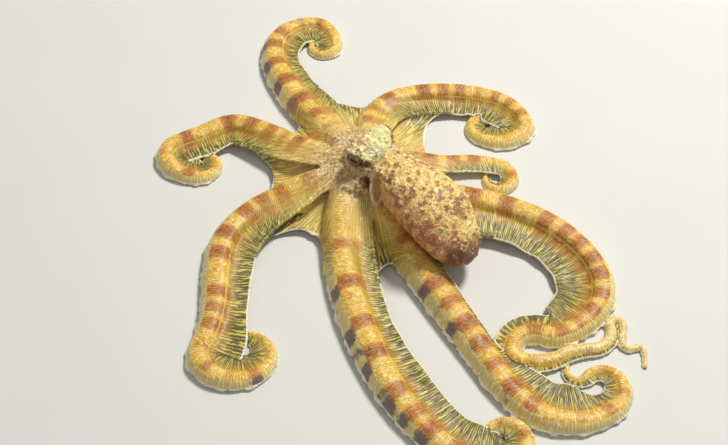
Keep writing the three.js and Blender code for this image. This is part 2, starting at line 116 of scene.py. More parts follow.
# Each arm sets off at a seat round the crown, on a heading, and follows arcs of (length, turn). half
# is half its greatest width; fullness says how late it tapers; side is the side of its fin, 1 for
# the left of the way along; fin holds (distance along the arm, width of the fin). patches and walls
# hold the stains on its back and on its bare side, as {distance along the arm: strength}.
ARMS = {
    "l1": {
        "seat": -48, "heading": -64, "half": 9, "tip": 1.2, "fullness": 2.2, "side": 1,
        "route": [(21, -23), (16, 9), (34, 12), (17, 54), (26, -6), (19, 100), (23, 59), (34, 200)],
        "fin": [(0, 2), (30, 8), (80, 8), (120, 10), (150, 11), (178, 8), (190, 3)],
        "patches": {
            33: 1, 44: 0.5, 54: 0.8, 67: 0.9, 82: 0.95, 96: 0.4, 109: 0.8, 128: 0.5, 150: 0.7, 168: 0.4,
        },
    },
    "l2": {
        "seat": -10, "heading": -20, "half": 9, "tip": 1.2, "fullness": 2.4, "side": 1,
        "route": [
            (16, -11), (43, 32), (18, 21), (17, 24), (23, 6), (34, -23), (13, 63), (29, 77), (40, 163),
        ],
        "fin": [(0, 2), (30, 9), (85, 12), (128, 10), (145, 16), (185, 15), (205, 11), (233, 4)],
        "patches": {
            22: 0.8, 39: 0.8, 50: 0.8, 62: 0.9, 80: 1, 94: 0.9, 106: 0.35, 119: 0.8, 129: 0.7, 139: 0.75,
            153: 0.5, 166: 0.6, 180: 0.5, 192: 0.6, 208: 0.4,
        },
        "walls": {80: 0.5, 192: 0.7},
    },
    "l3": {
        "seat": 10, "heading": 24, "half": 10, "tip": 1.2, "fullness": 2.2, "side": 1,
        "route": [
            (16, 19), (47, 15), (65, 16), (42, 17), (28, 37), (14, 29), (18, 88), (15, 79), (21, 148),
        ],
        "fin": [(0, 2), (30, 8), (90, 8), (150, 13), (215, 15), (250, 9), (266, 2)],
        "patches": {
            22: 0.35, 48: 0.7, 73: 0.95, 86: 0.35, 99: 0.8, 118: 1, 142: 0.8, 157: 0.75, 168: 0.95,
            184: 0.8, 199: 0.85, 214: 0.7, 230: 0.6, 246: 0.5,
        },
        "walls": {
            64: 0.45, 77: 0.9, 87: 0.5, 104: 1, 114: 0.6, 125: 0.85, 139: 0.6, 146: 1, 156: 0.8, 168: 0.9,
            184: 0.8, 200: 0.8, 215: 0.6,
        },
    },
    "l4": {
        "seat": 66, "heading": 71, "half": 9.5, "tip": 1.2, "fullness": 2.2, "side": 1,
        "route": [
            (53, 7), (45, 0), (38, -2), (24, 17), (22, 42), (26, 41), (18, 67), (22, 126), (16, -180),
        ],
        "fin": [(0, 2), (40, 2.5), (120, 2), (160, 14), (186, 17), (206, 7), (228, 6), (246, 4), (264, 1)],
        "patches": {
            46: 0.6, 65: 0.45, 79: 0.95, 93: 0.75, 108: 1, 122: 0.95, 135: 0.7, 150: 1, 163: 0.75,
            176: 0.4, 188: 0.5, 204: 0.6, 218: 0.5, 236: 0.5, 250: 0.4,
        },
        "walls": {79: 0.8, 92: 0.5, 106: 0.8, 121: 0.45, 137: 0.4, 152: 0.5},
    },
    "r4": {
        "seat": 110, "heading": 114, "half": 10, "tip": 1.1, "fullness": 1.3, "side": -1,
        "route": [
            (38, 17), (34, -10), (27, -18), (29, -24), (16, -21), (24, -48), (23, -28), (11, -48),
            (20, 102), (9, 87), (20, 45), (18, -27), (20, 98), (13, -205), (10, 8), (6, 115), (3, 0),
            (5, -108), (10, -12),
        ],
        "fin": [
            (0, 3), (40, 17), (75, 15), (110, 15), (150, 18), (178, 16), (212, 6), (245, 2), (336, 0.6),
        ],
        "patches": {
            30: 0.6, 55: 1, 75: 0.95, 86: 0.4, 99: 0.8, 112: 0.8, 122: 0.8, 134: 0.9, 145: 0.9, 158: 0.8,
            170: 0.8, 181: 0.6, 192: 0.7, 206: 0.8, 221: 0.4, 236: 0.5, 251: 0.4, 266: 0.45, 282: 0.4,
            298: 0.4, 314: 0.4,
        },
    },
    "r3": {
        "seat": 188, "heading": 149, "half": 5.5, "tip": 1.1, "fullness": 2.2, "side": -1,
        "route": [(53, -6), (21, -19), (19, -108), (18, -128), (10, -75)],
        "fin": [(0, 3), (30, 5), (80, 5), (110, 3), (121, 1)],
        "patches": {23: 0.9, 33: 1, 47: 0.8, 59: 0.8, 71: 0.4, 87: 0.6, 101: 0.4},
    },
    "r2": {
        "seat": -138, "heading": -135, "half": 8, "tip": 1.2, "fullness": 2.6, "side": -1,
        "route": [(31, -4), (20, -38), (19, -30), (51, -33), (28, -57), (11, -61), (29, -84), (32, -168)],
        "fin": [(0, 3), (30, 10), (105, 10), (122, 14), (150, 14), (185, 11), (205, 9), (221, 4)],
        "patches": {
            28: 0.8, 42: 0.6, 55: 1, 78: 1, 90: 0.7, 101: 0.7, 112: 0.5, 123: 0.6, 133: 0.6, 144: 0.6,
            156: 0.4, 171: 0.4, 188: 0.4, 204: 0.3,
        },
    },
    "r1": {
        "seat": -93, "heading": -98, "half": 9.5, "tip": 1.2, "fullness": 2, "side": -1,
        "route": [(22, -8), (37, 10), (39, -16), (20, -24), (37, -81), (10, -50), (19, -47), (35, -242)],
        "fin": [(0, 3), (30, 7), (100, 8), (135, 11), (175, 10), (205, 7), (219, 3)],
        "patches": {
            26: 0.5, 43: 0.85, 60: 1, 80: 1, 98: 0.85, 116: 0.85, 130: 0.75, 147: 0.5, 160: 0.6, 174: 0.35,
            190: 0.3,
        },
        "walls": {60: 1, 78: 0.9, 97: 0.9, 115: 0.9, 132: 0.5},
    },
}

# Each web: the two arms it hangs between, whether it starts at a fin, its reach along each arm, and
# how slowly its free edge swings over from each arm's own way to the other arm.
WEBS = [
    (("r1", "l1"), (False, False), (58, 48), (0.35, 0.3)),
    (("l1", "l2"), (True, False), (74, 50), (0.55, 0.3)),
    (("l2", "l3"), (True, False), (90, 50), (0.62, 0.62)),
    (("l3", "l4"), (True, False), (72, 62), (0.55, 0.7)),
    (("l4", "r4"), (True, True), (68, 72), (0.3, 0.3)),
    (("r4", "r3"), (False, True), (42, 44), (0.4, 0.4)),
    (("r3", "r2"), (False, True), (38, 96), (0.2, 0.6)),
    (("r2", "r1"), (False, True), (56, 70), (0.4, 0.4)),
]
WEBBED = {
    name: reach
    for names, on_fins, reaches, _ in WEBS
    for name, on_fin, reach in zip(names, on_fins, reaches)
    if on_fin
}

EYES = (("eye_left", 1), ("eye_right", -1))
FLESH_NODES = [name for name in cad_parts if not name.startswith("eye")]

# What the skin's material reads at each point, from the part of the body that it belongs to.
FIELDS = ("along", "lateral", "across", "edge", "arm", "web", "mantle", "head", "under", "patch")

# Marks of the head and mantle: the plain dome over the right eye, the hub that pale lines fan out
# from, a painted shadow below the mantle's opening, and the opening with its axes across and up.
RIGHT_DOME = (-27.0, -27.5, 35.0)
FAN_HUB = (-21.0, -17.5)
SHADOW_SPOT = (-5.3, -14.2, 25.0)
OPENING = {
    "at": (-6.0, -6.0, 26.6), "across": (-0.7507, 0.6606, 0.0), "up": (-0.506, -0.575, 0.643),
    "half": (3.0, 8.4), "near": 13.0, "depth": 1.7, "lip": 0.35, "flap": (4.0, 9.6, 3.4),
}


# ---------------------------------------------------------------- numbers

def smoothstep(value, low, high):
    share = np.clip((np.asarray(value, float) - low) / (high - low), 0, 1)
    return share * share * (3 - 2 * share)


def mix(a, b, share):
    return a + (b - a) * share


def eased(knots, at):
    """The value at a distance, eased between knots of (distance, value)."""
    at = np.asarray(at, float)
    value = np.full(at.shape, float(knots[0][1]))
    for (near, before), (far, after) in zip(knots, knots[1:]):
        value = np.where(at > near, mix(before, after, smoothstep(at, near, far)), value)
    return value


def closed_spline(corners, count):
    """Points evenly shared out along a smooth closed line through corners, for every ring at once."""
    total = corners.shape[1]
    at = np.arange(count) * total / count
    first = at.astype(int)
    t = (at - first)[None, :, None]
    a, b, c, d = (corners[:, (first + shift) % total] for shift in (-1, 0, 1, 2))
    return 0.5 * (
        2 * b + (c - a) * t + (2 * a - 5 * b + 4 * c - d) * t**2 + (3 * b - a - 3 * c + d) * t**3
    )


# ---------------------------------------------------------------- arms

class Arm:
    """One arm's middle line, widths and heights, at every half millimetre of its length."""

    STEP = 0.5

    def __init__(
        self, seat, heading, half, tip, fullness, side, route, fin, patches, walls=None
    ):
        self.side, self.patches, self.walls = side, patches, walls or {}
        self.length = sum(length for length, _ in route)
        self.s = np.append(np.arange(0, self.length, self.STEP), self.length)
        self.x, self.y, self.heading, self.bend = (np.zeros(len(self.s)) for _ in range(4))
        x = CROWN[0] + ARM_START * math.cos(math.radians(seat))
        y = CROWN[1] + ARM_START * math.sin(math.radians(seat))
        way, start = math.radians(heading), 0.0
        for length, turn in route:
            bend = math.radians(turn) / length
            here = self.s >= start
            along = self.s[here] - start
            self.heading[here] = way + bend * along
            self.bend[here] = bend
            self.x[here], self.y[here] = self.on_arc(x, y, way, bend, along)
            x, y = self.on_arc(x, y, way, bend, length)
            way += bend * length
            start += length
        taper = 1 - (self.s / self.length) ** fullness
        narrow = mix(ROOT_NARROWING, 1, smoothstep(self.s, 0, ROOT_LENGTH))
        self.half = (tip + (half - tip) * taper) * narrow
        self.tall = HEIGHT_LEAST + HEIGHT_SHARE * self.half
        self.sole = ROOT_LIFT * (1 - smoothstep(self.s, 0, TOUCHDOWN))
        rise = FIN_RISE * (1 - smoothstep(self.s, FIN_RISE_START, FIN_RISE_END))
        self.fin_z = np.minimum(FIN_SEAT * self.tall + rise, FIN_SEAT_MOST * self.tall)
        self.fin = self.fin_widths(fin)

    @staticmethod
    def on_arc(x, y, way, bend, along):
        if bend == 0:
            return x + math.cos(way) * along, y + math.sin(way) * along
        end = way + bend * along
        return x + (np.sin(end) - math.sin(way)) / bend, y - (np.cos(end) - math.cos(way)) / bend

    def fin_room(self):
        """How far the fin could reach before it crossed its own bend or the arm's next turn."""
        inwards = self.side * self.evened(self.bend, BEND_SMOOTHING)
        room = FIN_BEND_SHARE / np.maximum(inwards, 1e-3) - self.half
        dx = self.x[None] - self.x[:, None]
        dy = self.y[None] - self.y[:, None]
        cos, sin = np.cos(self.heading)[:, None], np.sin(self.heading)[:, None]
        across = self.side * (dy * cos - dx * sin)
        along = dx * cos + dy * sin
        reach = self.half[None] + FIN_CLEARANCE
        gap, halves = TURN_APART
        far = np.abs(self.s[None] - self.s[:, None]) > gap + halves * self.half[:, None]
        meets = far & (across > 0) & (np.abs(along) < reach)
        depth = across - np.sqrt(np.maximum(reach**2 - along**2, 0)) - self.half[:, None]
        room = np.minimum(room, np.where(meets, depth, np.inf).min(axis=1))
        return np.minimum(room, FIN_MOST)

    def evened(self, values, distance):
        """Values along the arm, averaged over a distance to either side."""
        shifts = distance * np.linspace(-1, 1, FIN_SAMPLES)
        return np.mean([np.interp(self.s + shift, self.s, values) for shift in shifts], axis=0)

    def fin_widths(self, knots):
        room = self.evened(self.fin_room(), 0.5 * FIN_SMOOTHING)
        wanted = np.maximum(np.minimum(eased(knots, self.s), room), FIN_LEAST)
        return np.maximum(np.minimum(self.evened(wanted, FIN_SMOOTHING), room), FIN_LEAST)

    def at(self, s, *names):
        """The named measures at distances along the arm."""
        return [np.interp(s, self.s, getattr(self, name)) for name in names]

    def place(self, s, across, up):
        """Points from distances along the arm, offsets towards its fin and heights."""
        x, y, heading = self.at(s, "x", "y", "heading")
        left = self.side * across
        return np.stack([x - np.sin(heading) * left, y + np.cos(heading) * left, up], axis=-1)


def stains(along, marks):
    """How strongly the skin is stained at distances along an arm, by marks {distance: strength}."""
    depth = np.zeros(along.shape)
    for middle, strength in marks.items():
        depth = np.maximum(depth, strength * np.exp(-((along - middle) / PATCH_LENGTH) ** 2))
    return depth


def arm_outline(arm, s, sizes):
    """The arm's section at each distance: offsets towards the fin and heights, in millimetres."""
    half, tall, sole, fin, fin_z = arm.at(s, "half", "tall", "sole", "fin", "fin_z")
    under = sizes.sucker_height * half
    thick = sizes.fin_thickness / MM * np.minimum(1, 0.25 * tall)
    edge = half + fin
    # Waves along the free edge and a ruffle at the foot, each of uneven length.
    wave = sizes.fin_wave / MM * np.minimum(1, fin / 8) * np.sin(s / 5.5 + 2 * np.sin(s / 17))
    tip_z = fin_z + wave
    middle_z = fin_z + 0.35 * wave
    shoulder = np.maximum(fin_z + thick, 0.62 * tall)
    ruffle = 0.55 + 0.3 * np.sin(s / 1.15 + 1.5 * np.sin(s / 4.1)) + 0.25 * np.sin(s / 2.7)
    frill = sizes.frill / MM * ruffle * np.minimum(1, half / 5)
    corners = [
        (-0.72 * half, under),
        (-0.3 * half, 1.25 * under),
        (0.15 * half, 1.25 * under),
        (0.6 * half, 1.1 * under),
        (0.95 * half, np.maximum(fin_z - 1.1 * thick, 1.1 * under)),
        (half + 0.45 * fin, middle_z - 0.5 * thick),
        (edge - 0.3 * thick, tip_z - 0.5 * thick),
        (edge + 0.15 * thick, tip_z),
        (edge - 0.3 * thick, tip_z + 0.5 * thick),
        (half + 0.5 * fin, middle_z + 0.55 * thick),
        (half + 0.12 * fin, mix(fin_z + 0.6 * thick, shoulder, 0.3)),
        (0.9 * half, mix(fin_z + thick, shoulder, 0.85)),
        (0.66 * half, 0.88 * tall),
        (0.3 * half, 0.985 * tall),
        (-0.15 * half, tall),
        (-0.55 * half, 0.9 * tall),
        (-0.86 * half, 0.64 * tall),
        (-1.0 * half, 0.4 * tall),
        (-1.0 * half - 0.4 * frill, 0.27 * tall),
        (-1.0 * half - frill, 0.19 * tall),
        (-0.86 * half, 0.7 * under),
    ]
    outline = np.stack([np.stack(corner, axis=-1) for corner in corners], axis=1)
    outline = closed_spline(outline, sizes.section_sides)
    outline[..., 1] += sole[:, None]
    return outline


def tube_faces(rings, sides):
    """Quads between rings of points, and a fan of one face over each end."""
    ring, side = np.meshgrid(np.arange(rings - 1), np.arange(sides), indexing="ij")
    here = (ring * sides + side).ravel()
    beside = (ring * sides + (side + 1) % sides).ravel()
    quads = np.stack([here, beside, beside + sides, here + sides], axis=1).tolist()
    ends = [list(range(sides))[::-1], list(range((rings - 1) * sides, rings * sides))]
    return quads + ends


class Shell:
    """A closed surface of the flesh, with what the skin reads on it."""

    def __init__(self, points, faces, **fields):
        self.points = np.asarray(points, float)
        self.faces = [list(face) for face in faces]
        self.fields = {name: np.zeros(len(self.points)) for name in FIELDS}
        self.fields["edge"] += NO_EDGE
        for name, value in fields.items():
            self.fields[name] = np.broadcast_to(value, len(self.points)).astype(float)


# Shares of the way round an arm's section between which it isn't its underside.
BENEATH_UNTIL = 0.36
BENEATH_FROM = 0.985
WALL = (-0.7, -0.45)  # the bare side gives way to the back, in half widths from the middle


def arm_shell(name, arm, sizes):
    count = int(arm.length / (sizes.station / MM))
    s = np.linspace(0, arm.length, count)
    outline = arm_outline(arm, s, sizes)
    half, fin = (value[:, None] for value in arm.at(s, "half", "fin"))
    lateral = outline[..., 0]
    along = np.broadcast_to(s[:, None], lateral.shape)
    points = arm.place(along, lateral, outline[..., 1])
    across = np.where(lateral > half, 1 + (lateral - half) / fin, lateral / half)
    webbed = 0
    if name in WEBBED:
        webbed = 1 - smoothstep(along, *(WEBBED[name] + shift for shift in WEB_FADE))
    edge = np.minimum(half + fin - lateral, NO_EDGE) + NO_EDGE * webbed
    side = np.arange(outline.shape[1]) / outline.shape[1]
    beneath = (side < BENEATH_UNTIL) | (side > BENEATH_FROM)
    on_wall = 1 - smoothstep(lateral / half, *WALL)
    patch = mix(stains(along, arm.patches), stains(along, arm.walls), on_wall)
    under = np.broadcast_to(beneath, lateral.shape)
    return Shell(
        points.reshape(-1, 3), tube_faces(count, outline.shape[1]),
        along=along.ravel(), lateral=lateral.ravel(), across=across.ravel(), edge=edge.ravel(),
        arm=1, under=under.ravel(), patch=patch.ravel(),
    )


# ---------------------------------------------------------------- webs

def rail(arm, s, on_fin):
    """Where a web meets an arm, at distances along the arm."""
    half, tall, sole, fin, fin_z = arm.at(s, "half", "tall", "sole", "fin", "fin_z")
    lap = smoothstep(s, WEB_LAP_START, WEB_LAP_END)
    across = mix(WEB_ROOT * half, half + fin - WEB_LAP, lap) if on_fin else -WEB_ROOT * half
    return arm.place(s, across, sole + (fin_z if on_fin else WEB_SEAT * tall))


def drawn_back(points, arm, s, distance):
    """Points drawn back towards the crown along the arm, and down by the web's sag."""
    (heading,) = arm.at(s, "heading")
    back = np.stack([np.cos(heading) * distance, np.sin(heading) * distance, WEB_SAG + 0 * s], axis=-1)
    return points - back


def web_shell(arms, web, sizes):
    (one, two), on_fins, reaches, handles = web
    one, two = arms[one], arms[two]
    out = np.linspace(0, 1, WEB_ROWS)
    near, far = (out * reach for reach in reaches)
    start, end = rail(one, near, on_fins[0]), rail(two, far, on_fins[1])
    span = np.linalg.norm(end - start, axis=1)
    leave = drawn_back(start, one, near, handles[0] * span)[:, None]
    arrive = drawn_back(end, two, far, handles[1] * span)[:, None]
    start, end = start[:, None], end[:, None]
    share = np.linspace(0, 1, WEB_COLUMNS)[None]
    t = share[..., None]
    grid = (
        start * (1 - t) ** 3 + 3 * leave * t * (1 - t) ** 2 + 3 * arrive * t**2 * (1 - t) + end * t**3
    )
    grid[..., 2] += WEB_FOLD * np.sin(5 * math.pi * share) * out[:, None]
    half_thick = 0.5 * sizes.web_thickness / MM
    top, bottom = grid.copy(), grid.copy()
    top[..., 2] += half_thick
    bottom[..., 2] -= half_thick
    # Each row is a closed ring: along its top and back along its underside.
    rings = np.concatenate([top, bottom[:, ::-1]], axis=1)
    sides = rings.shape[1]
    reach = mix(reaches[0], reaches[1], share)
    along = out[:, None] * reach
    edge = (1 - out[:, None]) * reach
    along, edge = (np.concatenate([value, value[:, ::-1]], axis=1) for value in (along, edge))
    under = np.broadcast_to(np.arange(sides) >= WEB_COLUMNS, along.shape)
    return Shell(
        rings.reshape(-1, 3), tube_faces(WEB_ROWS, sides), along=along.ravel(), across=1.5,
        edge=np.minimum(edge, NO_EDGE).ravel(), web=1, under=under.ravel(),
    )


# ---------------------------------------------------------------- meshes

def deselect():
    bpy.ops.object.select_all(action="DESELECT")


def only(obj):
    deselect()
    obj.select_set(True)
    bpy.context.view_layer.objects.active = obj


def new_mesh(name, points, faces):
    """A mesh object from points in millimetres."""
    mesh = bpy.data.meshes.new(name)
    mesh.from_pydata((np.asarray(points) * MM).tolist(), [], faces)
    mesh.update()
    obj = bpy.data.objects.new(name, mesh)
    bpy.context.scene.collection.objects.link(obj)
    return obj


def vertices_of(obj, what):
    """What each vertex holds, such as its place or its normal."""
    flat = np.zeros(len(obj.data.vertices) * 3, np.float32)
    obj.data.vertices.foreach_get(what, flat)
    return flat.reshape(-1, 3)


def points_of(obj):
    """An object's vertices in the row frame, in millimetres."""
    world = np.array(obj.matrix_world)
    return (vertices_of(obj, "co") @ world[:3, :3].T + world[:3, 3]) / MM


def set_points(obj, points):
    obj.data.vertices.foreach_set("co", (np.asarray(points) * MM).astype(np.float32).ravel())
    obj.data.update()


def write_field(obj, name, values):
    """Numbers at the vertices that a material can read."""
    attribute = obj.data.attributes.new(name, "FLOAT", "POINT")
    attribute.data.foreach_set("value", values.astype(np.float32))


def apply_modifier(obj, kind, **settings):
    only(obj)
    modifier = obj.modifiers.new(kind.title(), kind)
    for name, value in settings.items():
        setattr(modifier, name, value)
    bpy.ops.object.modifier_apply(modifier=modifier.name)


def from_crown(at):
    return (CROWN[0] + at[0], CROWN[1] + at[1], at[2])


def ball(at, size, turn=0, **fields):
    """A round part of the flesh, added as a sphere at its size and place."""
    deselect()
    bpy.ops.mesh.primitive_uv_sphere_add(
        segments=BALL_SEGMENTS, ring_count=BALL_RINGS, radius=MM,
        location=[value * MM for value in at], rotation=(0, 0, math.radians(turn)), scale=size,
    )
    bpy.context.view_layer.update()
    obj = bpy.context.object
    shell = Shell(points_of(obj), [list(face.vertices) for face in obj.data.polygons], **fields)
    bpy.data.meshes.remove(obj.data)
    return shell


# ---------------------------------------------------------------- head, mantle, funnel

def eye_frame(name, side):
    """The eye's middle and radius from its node, and its outward, upward and forward directions."""
    low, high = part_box(name)
    middle = np.array((low + high) / 2) / MM
    radius = float(max(high - low)) / 2 / MM
    turn, tilt = math.radians(HEAD["turn"]), math.radians(EYE_TILT)
    level = np.array([side * math.cos(turn), side * math.sin(turn), 0])
    out = level * math.cos(tilt) + np.array([0, 0, math.sin(tilt)])
    up = -level * math.sin(tilt) + np.array([0, 0, math.cos(tilt)])
    return middle, radius, out, up, np.cross(up, out)


def mantle_axis(t):
    """The mantle's middle line and size at each share of its length."""
    fore = mix(MANTLE["collar"], 1, np.sin(math.pi / 2 * np.minimum(t / MANTLE["fullest"], 1)))
    past = np.maximum(t - MANTLE["fullest"], 0) / (1 - MANTLE["fullest"])
    size = fore * np.sqrt(np.maximum(1 - past ** MANTLE["bluntness"], 0))
    z = eased([(0, MANTLE["front_z"]), (MANTLE["fullest"], MANTLE["mid_z"]), (1, MANTLE["tip_z"])], t)
    x = CROWN[0] + MANTLE["x"] + MANTLE["lean"] * t * t
    y = CROWN[1] + MANTLE["front"] + MANTLE["length"] * t
    return x, y, z, size


MANTLE_RINGS = 60
MANTLE_SIDES = 56
MANTLE_CROWDING = 1.6  # how much closer the rings stand towards the tip


def mantle_shell():
    t = 1 - (1 - np.linspace(0, 1, MANTLE_RINGS)) ** MANTLE_CROWDING
    x, y, z, size = (np.asarray(value)[:, None] for value in mantle_axis(t))
    size = np.maximum(size, 0.02)
    angle = np.linspace(0, 2 * math.pi, MANTLE_SIDES, endpoint=False)[None]
    across = x + MANTLE["wide"] * size * np.sin(angle)
    up = z + MANTLE["tall"] * size * np.cos(angle)
    points = np.stack([across, np.broadcast_to(y, across.shape), up], axis=-1)
    return Shell(points.reshape(-1, 3), tube_faces(MANTLE_RINGS, MANTLE_SIDES), mantle=1)


def flap_shell():
    """The edge of the mantle round its opening on the left, a flattened swelling."""
    flap = ball((0, 0, 0), OPENING["flap"], mantle=1)
    axes = np.array([OPENING["across"], OPENING["up"], np.cross(OPENING["across"], OPENING["up"])])
    flap.points = flap.points @ axes + OPENING["at"]
    return flap


def funnel_shell():
    place = Matrix.Translation(from_crown(FUNNEL["at"]))
    place @= Matrix.Rotation(math.radians(FUNNEL["bearing"] + 90), 4, "Z")
    place @= Matrix.Rotation(math.radians(90 + FUNNEL["dip"]), 4, "X")
    profile = [
        (FUNNEL["root"], 0), (0.9 * FUNNEL["root"], 0.3 * FUNNEL["length"]),
        (FUNNEL["mouth"], 0.9 * FUNNEL["length"]), (FUNNEL["mouth"] - 0.4, FUNNEL["length"]),
        (FUNNEL["mouth"] - FUNNEL["wall"], 0.96 * FUNNEL["length"]),
        (FUNNEL["mouth"] - FUNNEL["wall"], 0.5 * FUNNEL["length"]),
    ]
    points = [
        place @ Vector((r * math.cos(a), r * math.sin(a), z))
        for r, z in profile
        for a in np.linspace(0, 2 * math.pi, FUNNEL_SIDES, endpoint=False)
    ]
    faces = tube_faces(len(profile), FUNNEL_SIDES)
    return Shell([tuple(point) for point in points], faces, head=1)


def body_shells():
    low, high = CROWN_HEIGHTS
    shells = [
        ball(
            (*CROWN, (low + high) / 2), (CROWN_RADIUS, CROWN_RADIUS, (high - low) / 2),
            head=0.4, along=12,
        ),
        ball(from_crown(HEAD["at"]), HEAD["size"], HEAD["turn"], head=1),
        ball(from_crown(NECK["at"]), NECK["size"], NECK["turn"], head=1),
        mantle_shell(),
        flap_shell(),
        funnel_shell(),
    ]
    turn = math.radians(HEAD["turn"])
    for side in (1, -1):
        x = HEAD["at"][0] + side * EYE_SPREAD * math.cos(turn)
        y = HEAD["at"][1] + side * EYE_SPREAD * math.sin(turn)
        at = from_crown((x, y, HEAD["at"][2] + EYE_BULGE_RISE))
        shells.append(ball(at, EYE_BULGE, HEAD["turn"], head=1))
    return shells


# ---------------------------------------------------------------- the skin's surface

def joined(shells):
    """All the shells' points and faces, in one list of each."""
    faces, start = [], 0
    for shell in shells:
        faces += [[start + corner for corner in face] for face in shell.faces]
        start += len(shell.points)
    return np.concatenate([shell.points for shell in shells]), faces


class Map:
    """Finds, for any point, the fields at the nearest place on the shells."""

    def __init__(self, shells):
        self.points, faces = joined(shells)
        triangles = [
            (face[0], face[k], face[k + 1])
            for face in faces if len(face) <= 4
            for k in range(1, len(face) - 1)
        ]
        self.triangles = np.array(triangles)
        self.fields = {
            name: np.concatenate([shell.fields[name] for shell in shells]) for name in FIELDS
        }
        self.tree = BVHTree.FromPolygons(self.points.tolist(), triangles)

    def read(self, points):
        found = [self.tree.find_nearest(point) for point in points.tolist()]
        near = np.array([tuple(hit[0]) for hit in found])
        corners = self.triangles[[hit[2] for hit in found]]
        a, b, c = (self.points[corners[:, k]] for k in range(3))
        ab, ac, ap = b - a, c - a, near - a
        d00, d01, d11 = (np.einsum("ij,ij->i", u, v) for u, v in ((ab, ab), (ab, ac), (ac, ac)))
        d20, d21 = (np.einsum("ij,ij->i", ap, v) for v in (ab, ac))
        span = np.maximum(d00 * d11 - d01 * d01, 1e-12)
        v, w = (d11 * d20 - d01 * d21) / span, (d00 * d21 - d01 * d20) / span
        shares = np.clip(np.stack([1 - v - w, v, w], axis=1), 0, 1)
        return {name: (values[corners] * shares).sum(axis=1) for name, values in self.fields.items()}


def blurred(obj, values, rounds):
    """Values at the vertices, evened out along the edges."""
    edges = np.zeros(len(obj.data.edges) * 2, np.int32)
    obj.data.edges.foreach_get("vertices", edges)
    one, two = edges.reshape(-1, 2).T
    count = len(values)
    degree = np.bincount(one, minlength=count) + np.bincount(two, minlength=count)
    for _ in range(rounds):
        total = np.bincount(one, values[two], count) + np.bincount(two, values[one], count)
        values = 0.5 * values + 0.5 * total / np.maximum(degree, 1)
    return values


def noise_at(points, size):
    """Smooth noise from -1 to 1 whose lumps are about size millimetres across."""
    return np.array([noise.noise(point) for point in (points / size).tolist()])


WART_STEEPNESS = 1.6


def warts_at(points, size):
    """1 at the middle of each round wart, falling to 0 between them."""
    depth = [noise.voronoi(point)[0][0] for point in (points / size).tolist()]
    return np.clip(1 - WART_STEEPNESS * np.array(depth), 0, 1)


def opening_masks(points):
    """How far each point lies in the mantle's opening and on the pale rim round it, from 0 to 1."""
    away = points - OPENING["at"]
    close = np.linalg.norm(away, axis=1) < OPENING["near"]
    across = away @ np.array(OPENING["across"]) / OPENING["half"][0]
    up = away @ np.array(OPENING["up"]) / OPENING["half"][1]
    # Bulged on the outer side and nearly straight on the other.
    bowed = np.where(across < 0, across, 1.6 * across)
    lens = up**2 + np.abs(bowed) ** 1.5
    inside = close * (1 - smoothstep(lens, 0.7, 1.05))
    rim = close * smoothstep(lens, 0.8, 1.1) * (1 - smoothstep(lens, 1.25, 1.8)) * (across < 0.2)
    return inside, rim


# The almond between the lids and the dark skin round it, in radii of the eye: half widths, half
# heights, and the powers that round their ends.
EYE_ALMOND = {"wide": 1.1, "high": 0.5, "powers": (2.4, 1.6)}
LID = {"front": 1.35, "rear": 2.4, "high": 0.66, "powers": (1.4, 1.5), "depth": -0.3}
LID_RISE = 1.0  # how far the lids stand over the eye, in millimetres
EYE_SINK = 0.84  # the skin behind the eyeball's face, in radii
EYE_NEAR = 2.1


def seen_from_eye(points, name, side):
    """Where points lie from an eye's middle: outwards, upwards and forwards, and their offsets."""
    middle, radius, out, up, fore = eye_frame(name, side)
    away = points - middle
    return away @ out, away @ up, away @ fore, away, middle, radius


def almond_at(wide, high, half_wide, half_high, powers):
    """0 in the middle of an almond, 1 on its edge and more outside."""
    return np.abs(wide / half_wide) ** powers[0] + np.abs(high / half_high) ** powers[1]


def lid_mask(points, name, side):
    """The dark skin in the corners of an eye, from 0 to 1."""
    depth, high, wide, _, _, radius = seen_from_eye(points, name, side)
    reach = np.where(side * wide > 0, LID["rear"], LID["front"]) * radius
    almond = almond_at(wide, high, reach, LID["high"] * radius, LID["powers"])
    return (depth > LID["depth"] * radius) * (1 - smoothstep(almond, 0.8, 1.05))


def shape_eye(points, name, side):
    """Draws the skin into lids round an almond opening, with the eyeball showing inside."""
    depth, high, wide, away, middle, radius = seen_from_eye(points, name, side)
    distance = np.linalg.norm(away, axis=1)
    half_wide, half_high = EYE_ALMOND["wide"] * radius, EYE_ALMOND["high"] * radius
    almond = almond_at(wide, high, half_wide, half_high, EYE_ALMOND["powers"])
    near = (distance < EYE_NEAR * radius) & (depth > 0)
    inside = 1 - smoothstep(almond, 0.75, 1.15)
    lid = smoothstep(almond, 0.85, 1.4) * (1 - smoothstep(almond, 1.9, 3.6))
    wanted = mix(distance, radius + LID_RISE, lid)
    wanted = mix(wanted, EYE_SINK * radius, inside)
    wanted = np.where(near, wanted, distance)
    return middle + away * (wanted / np.maximum(distance, 1e-6))[:, None]


SETTLED_REACH = (30, 62)  # distances from the crown's middle over which the evening out ends
SETTLED_HEAD = 0.6  # how much of it the head is spared


def settled(obj, points, fields, sizes):
    """Evens out the flesh round the crown, where arms, webs and head run into each other."""
    reach = np.hypot(points[:, 0] - CROWN[0], points[:, 1] - CROWN[1])
    soft = np.maximum(fields["head"], 0) * SETTLED_HEAD
    bare = 1 - smoothstep(fields["mantle"], 0.1, 0.6)
    weight = (1 - smoothstep(reach, *SETTLED_REACH)) * bare * (1 - soft)
    weight = blurred(obj, weight, 4)[:, None]
    for _ in range(sizes.settling):
        even = np.stack([blurred(obj, points[:, axis], 1) for axis in range(3)], axis=1)
        points = mix(points, even, weight)
    return points


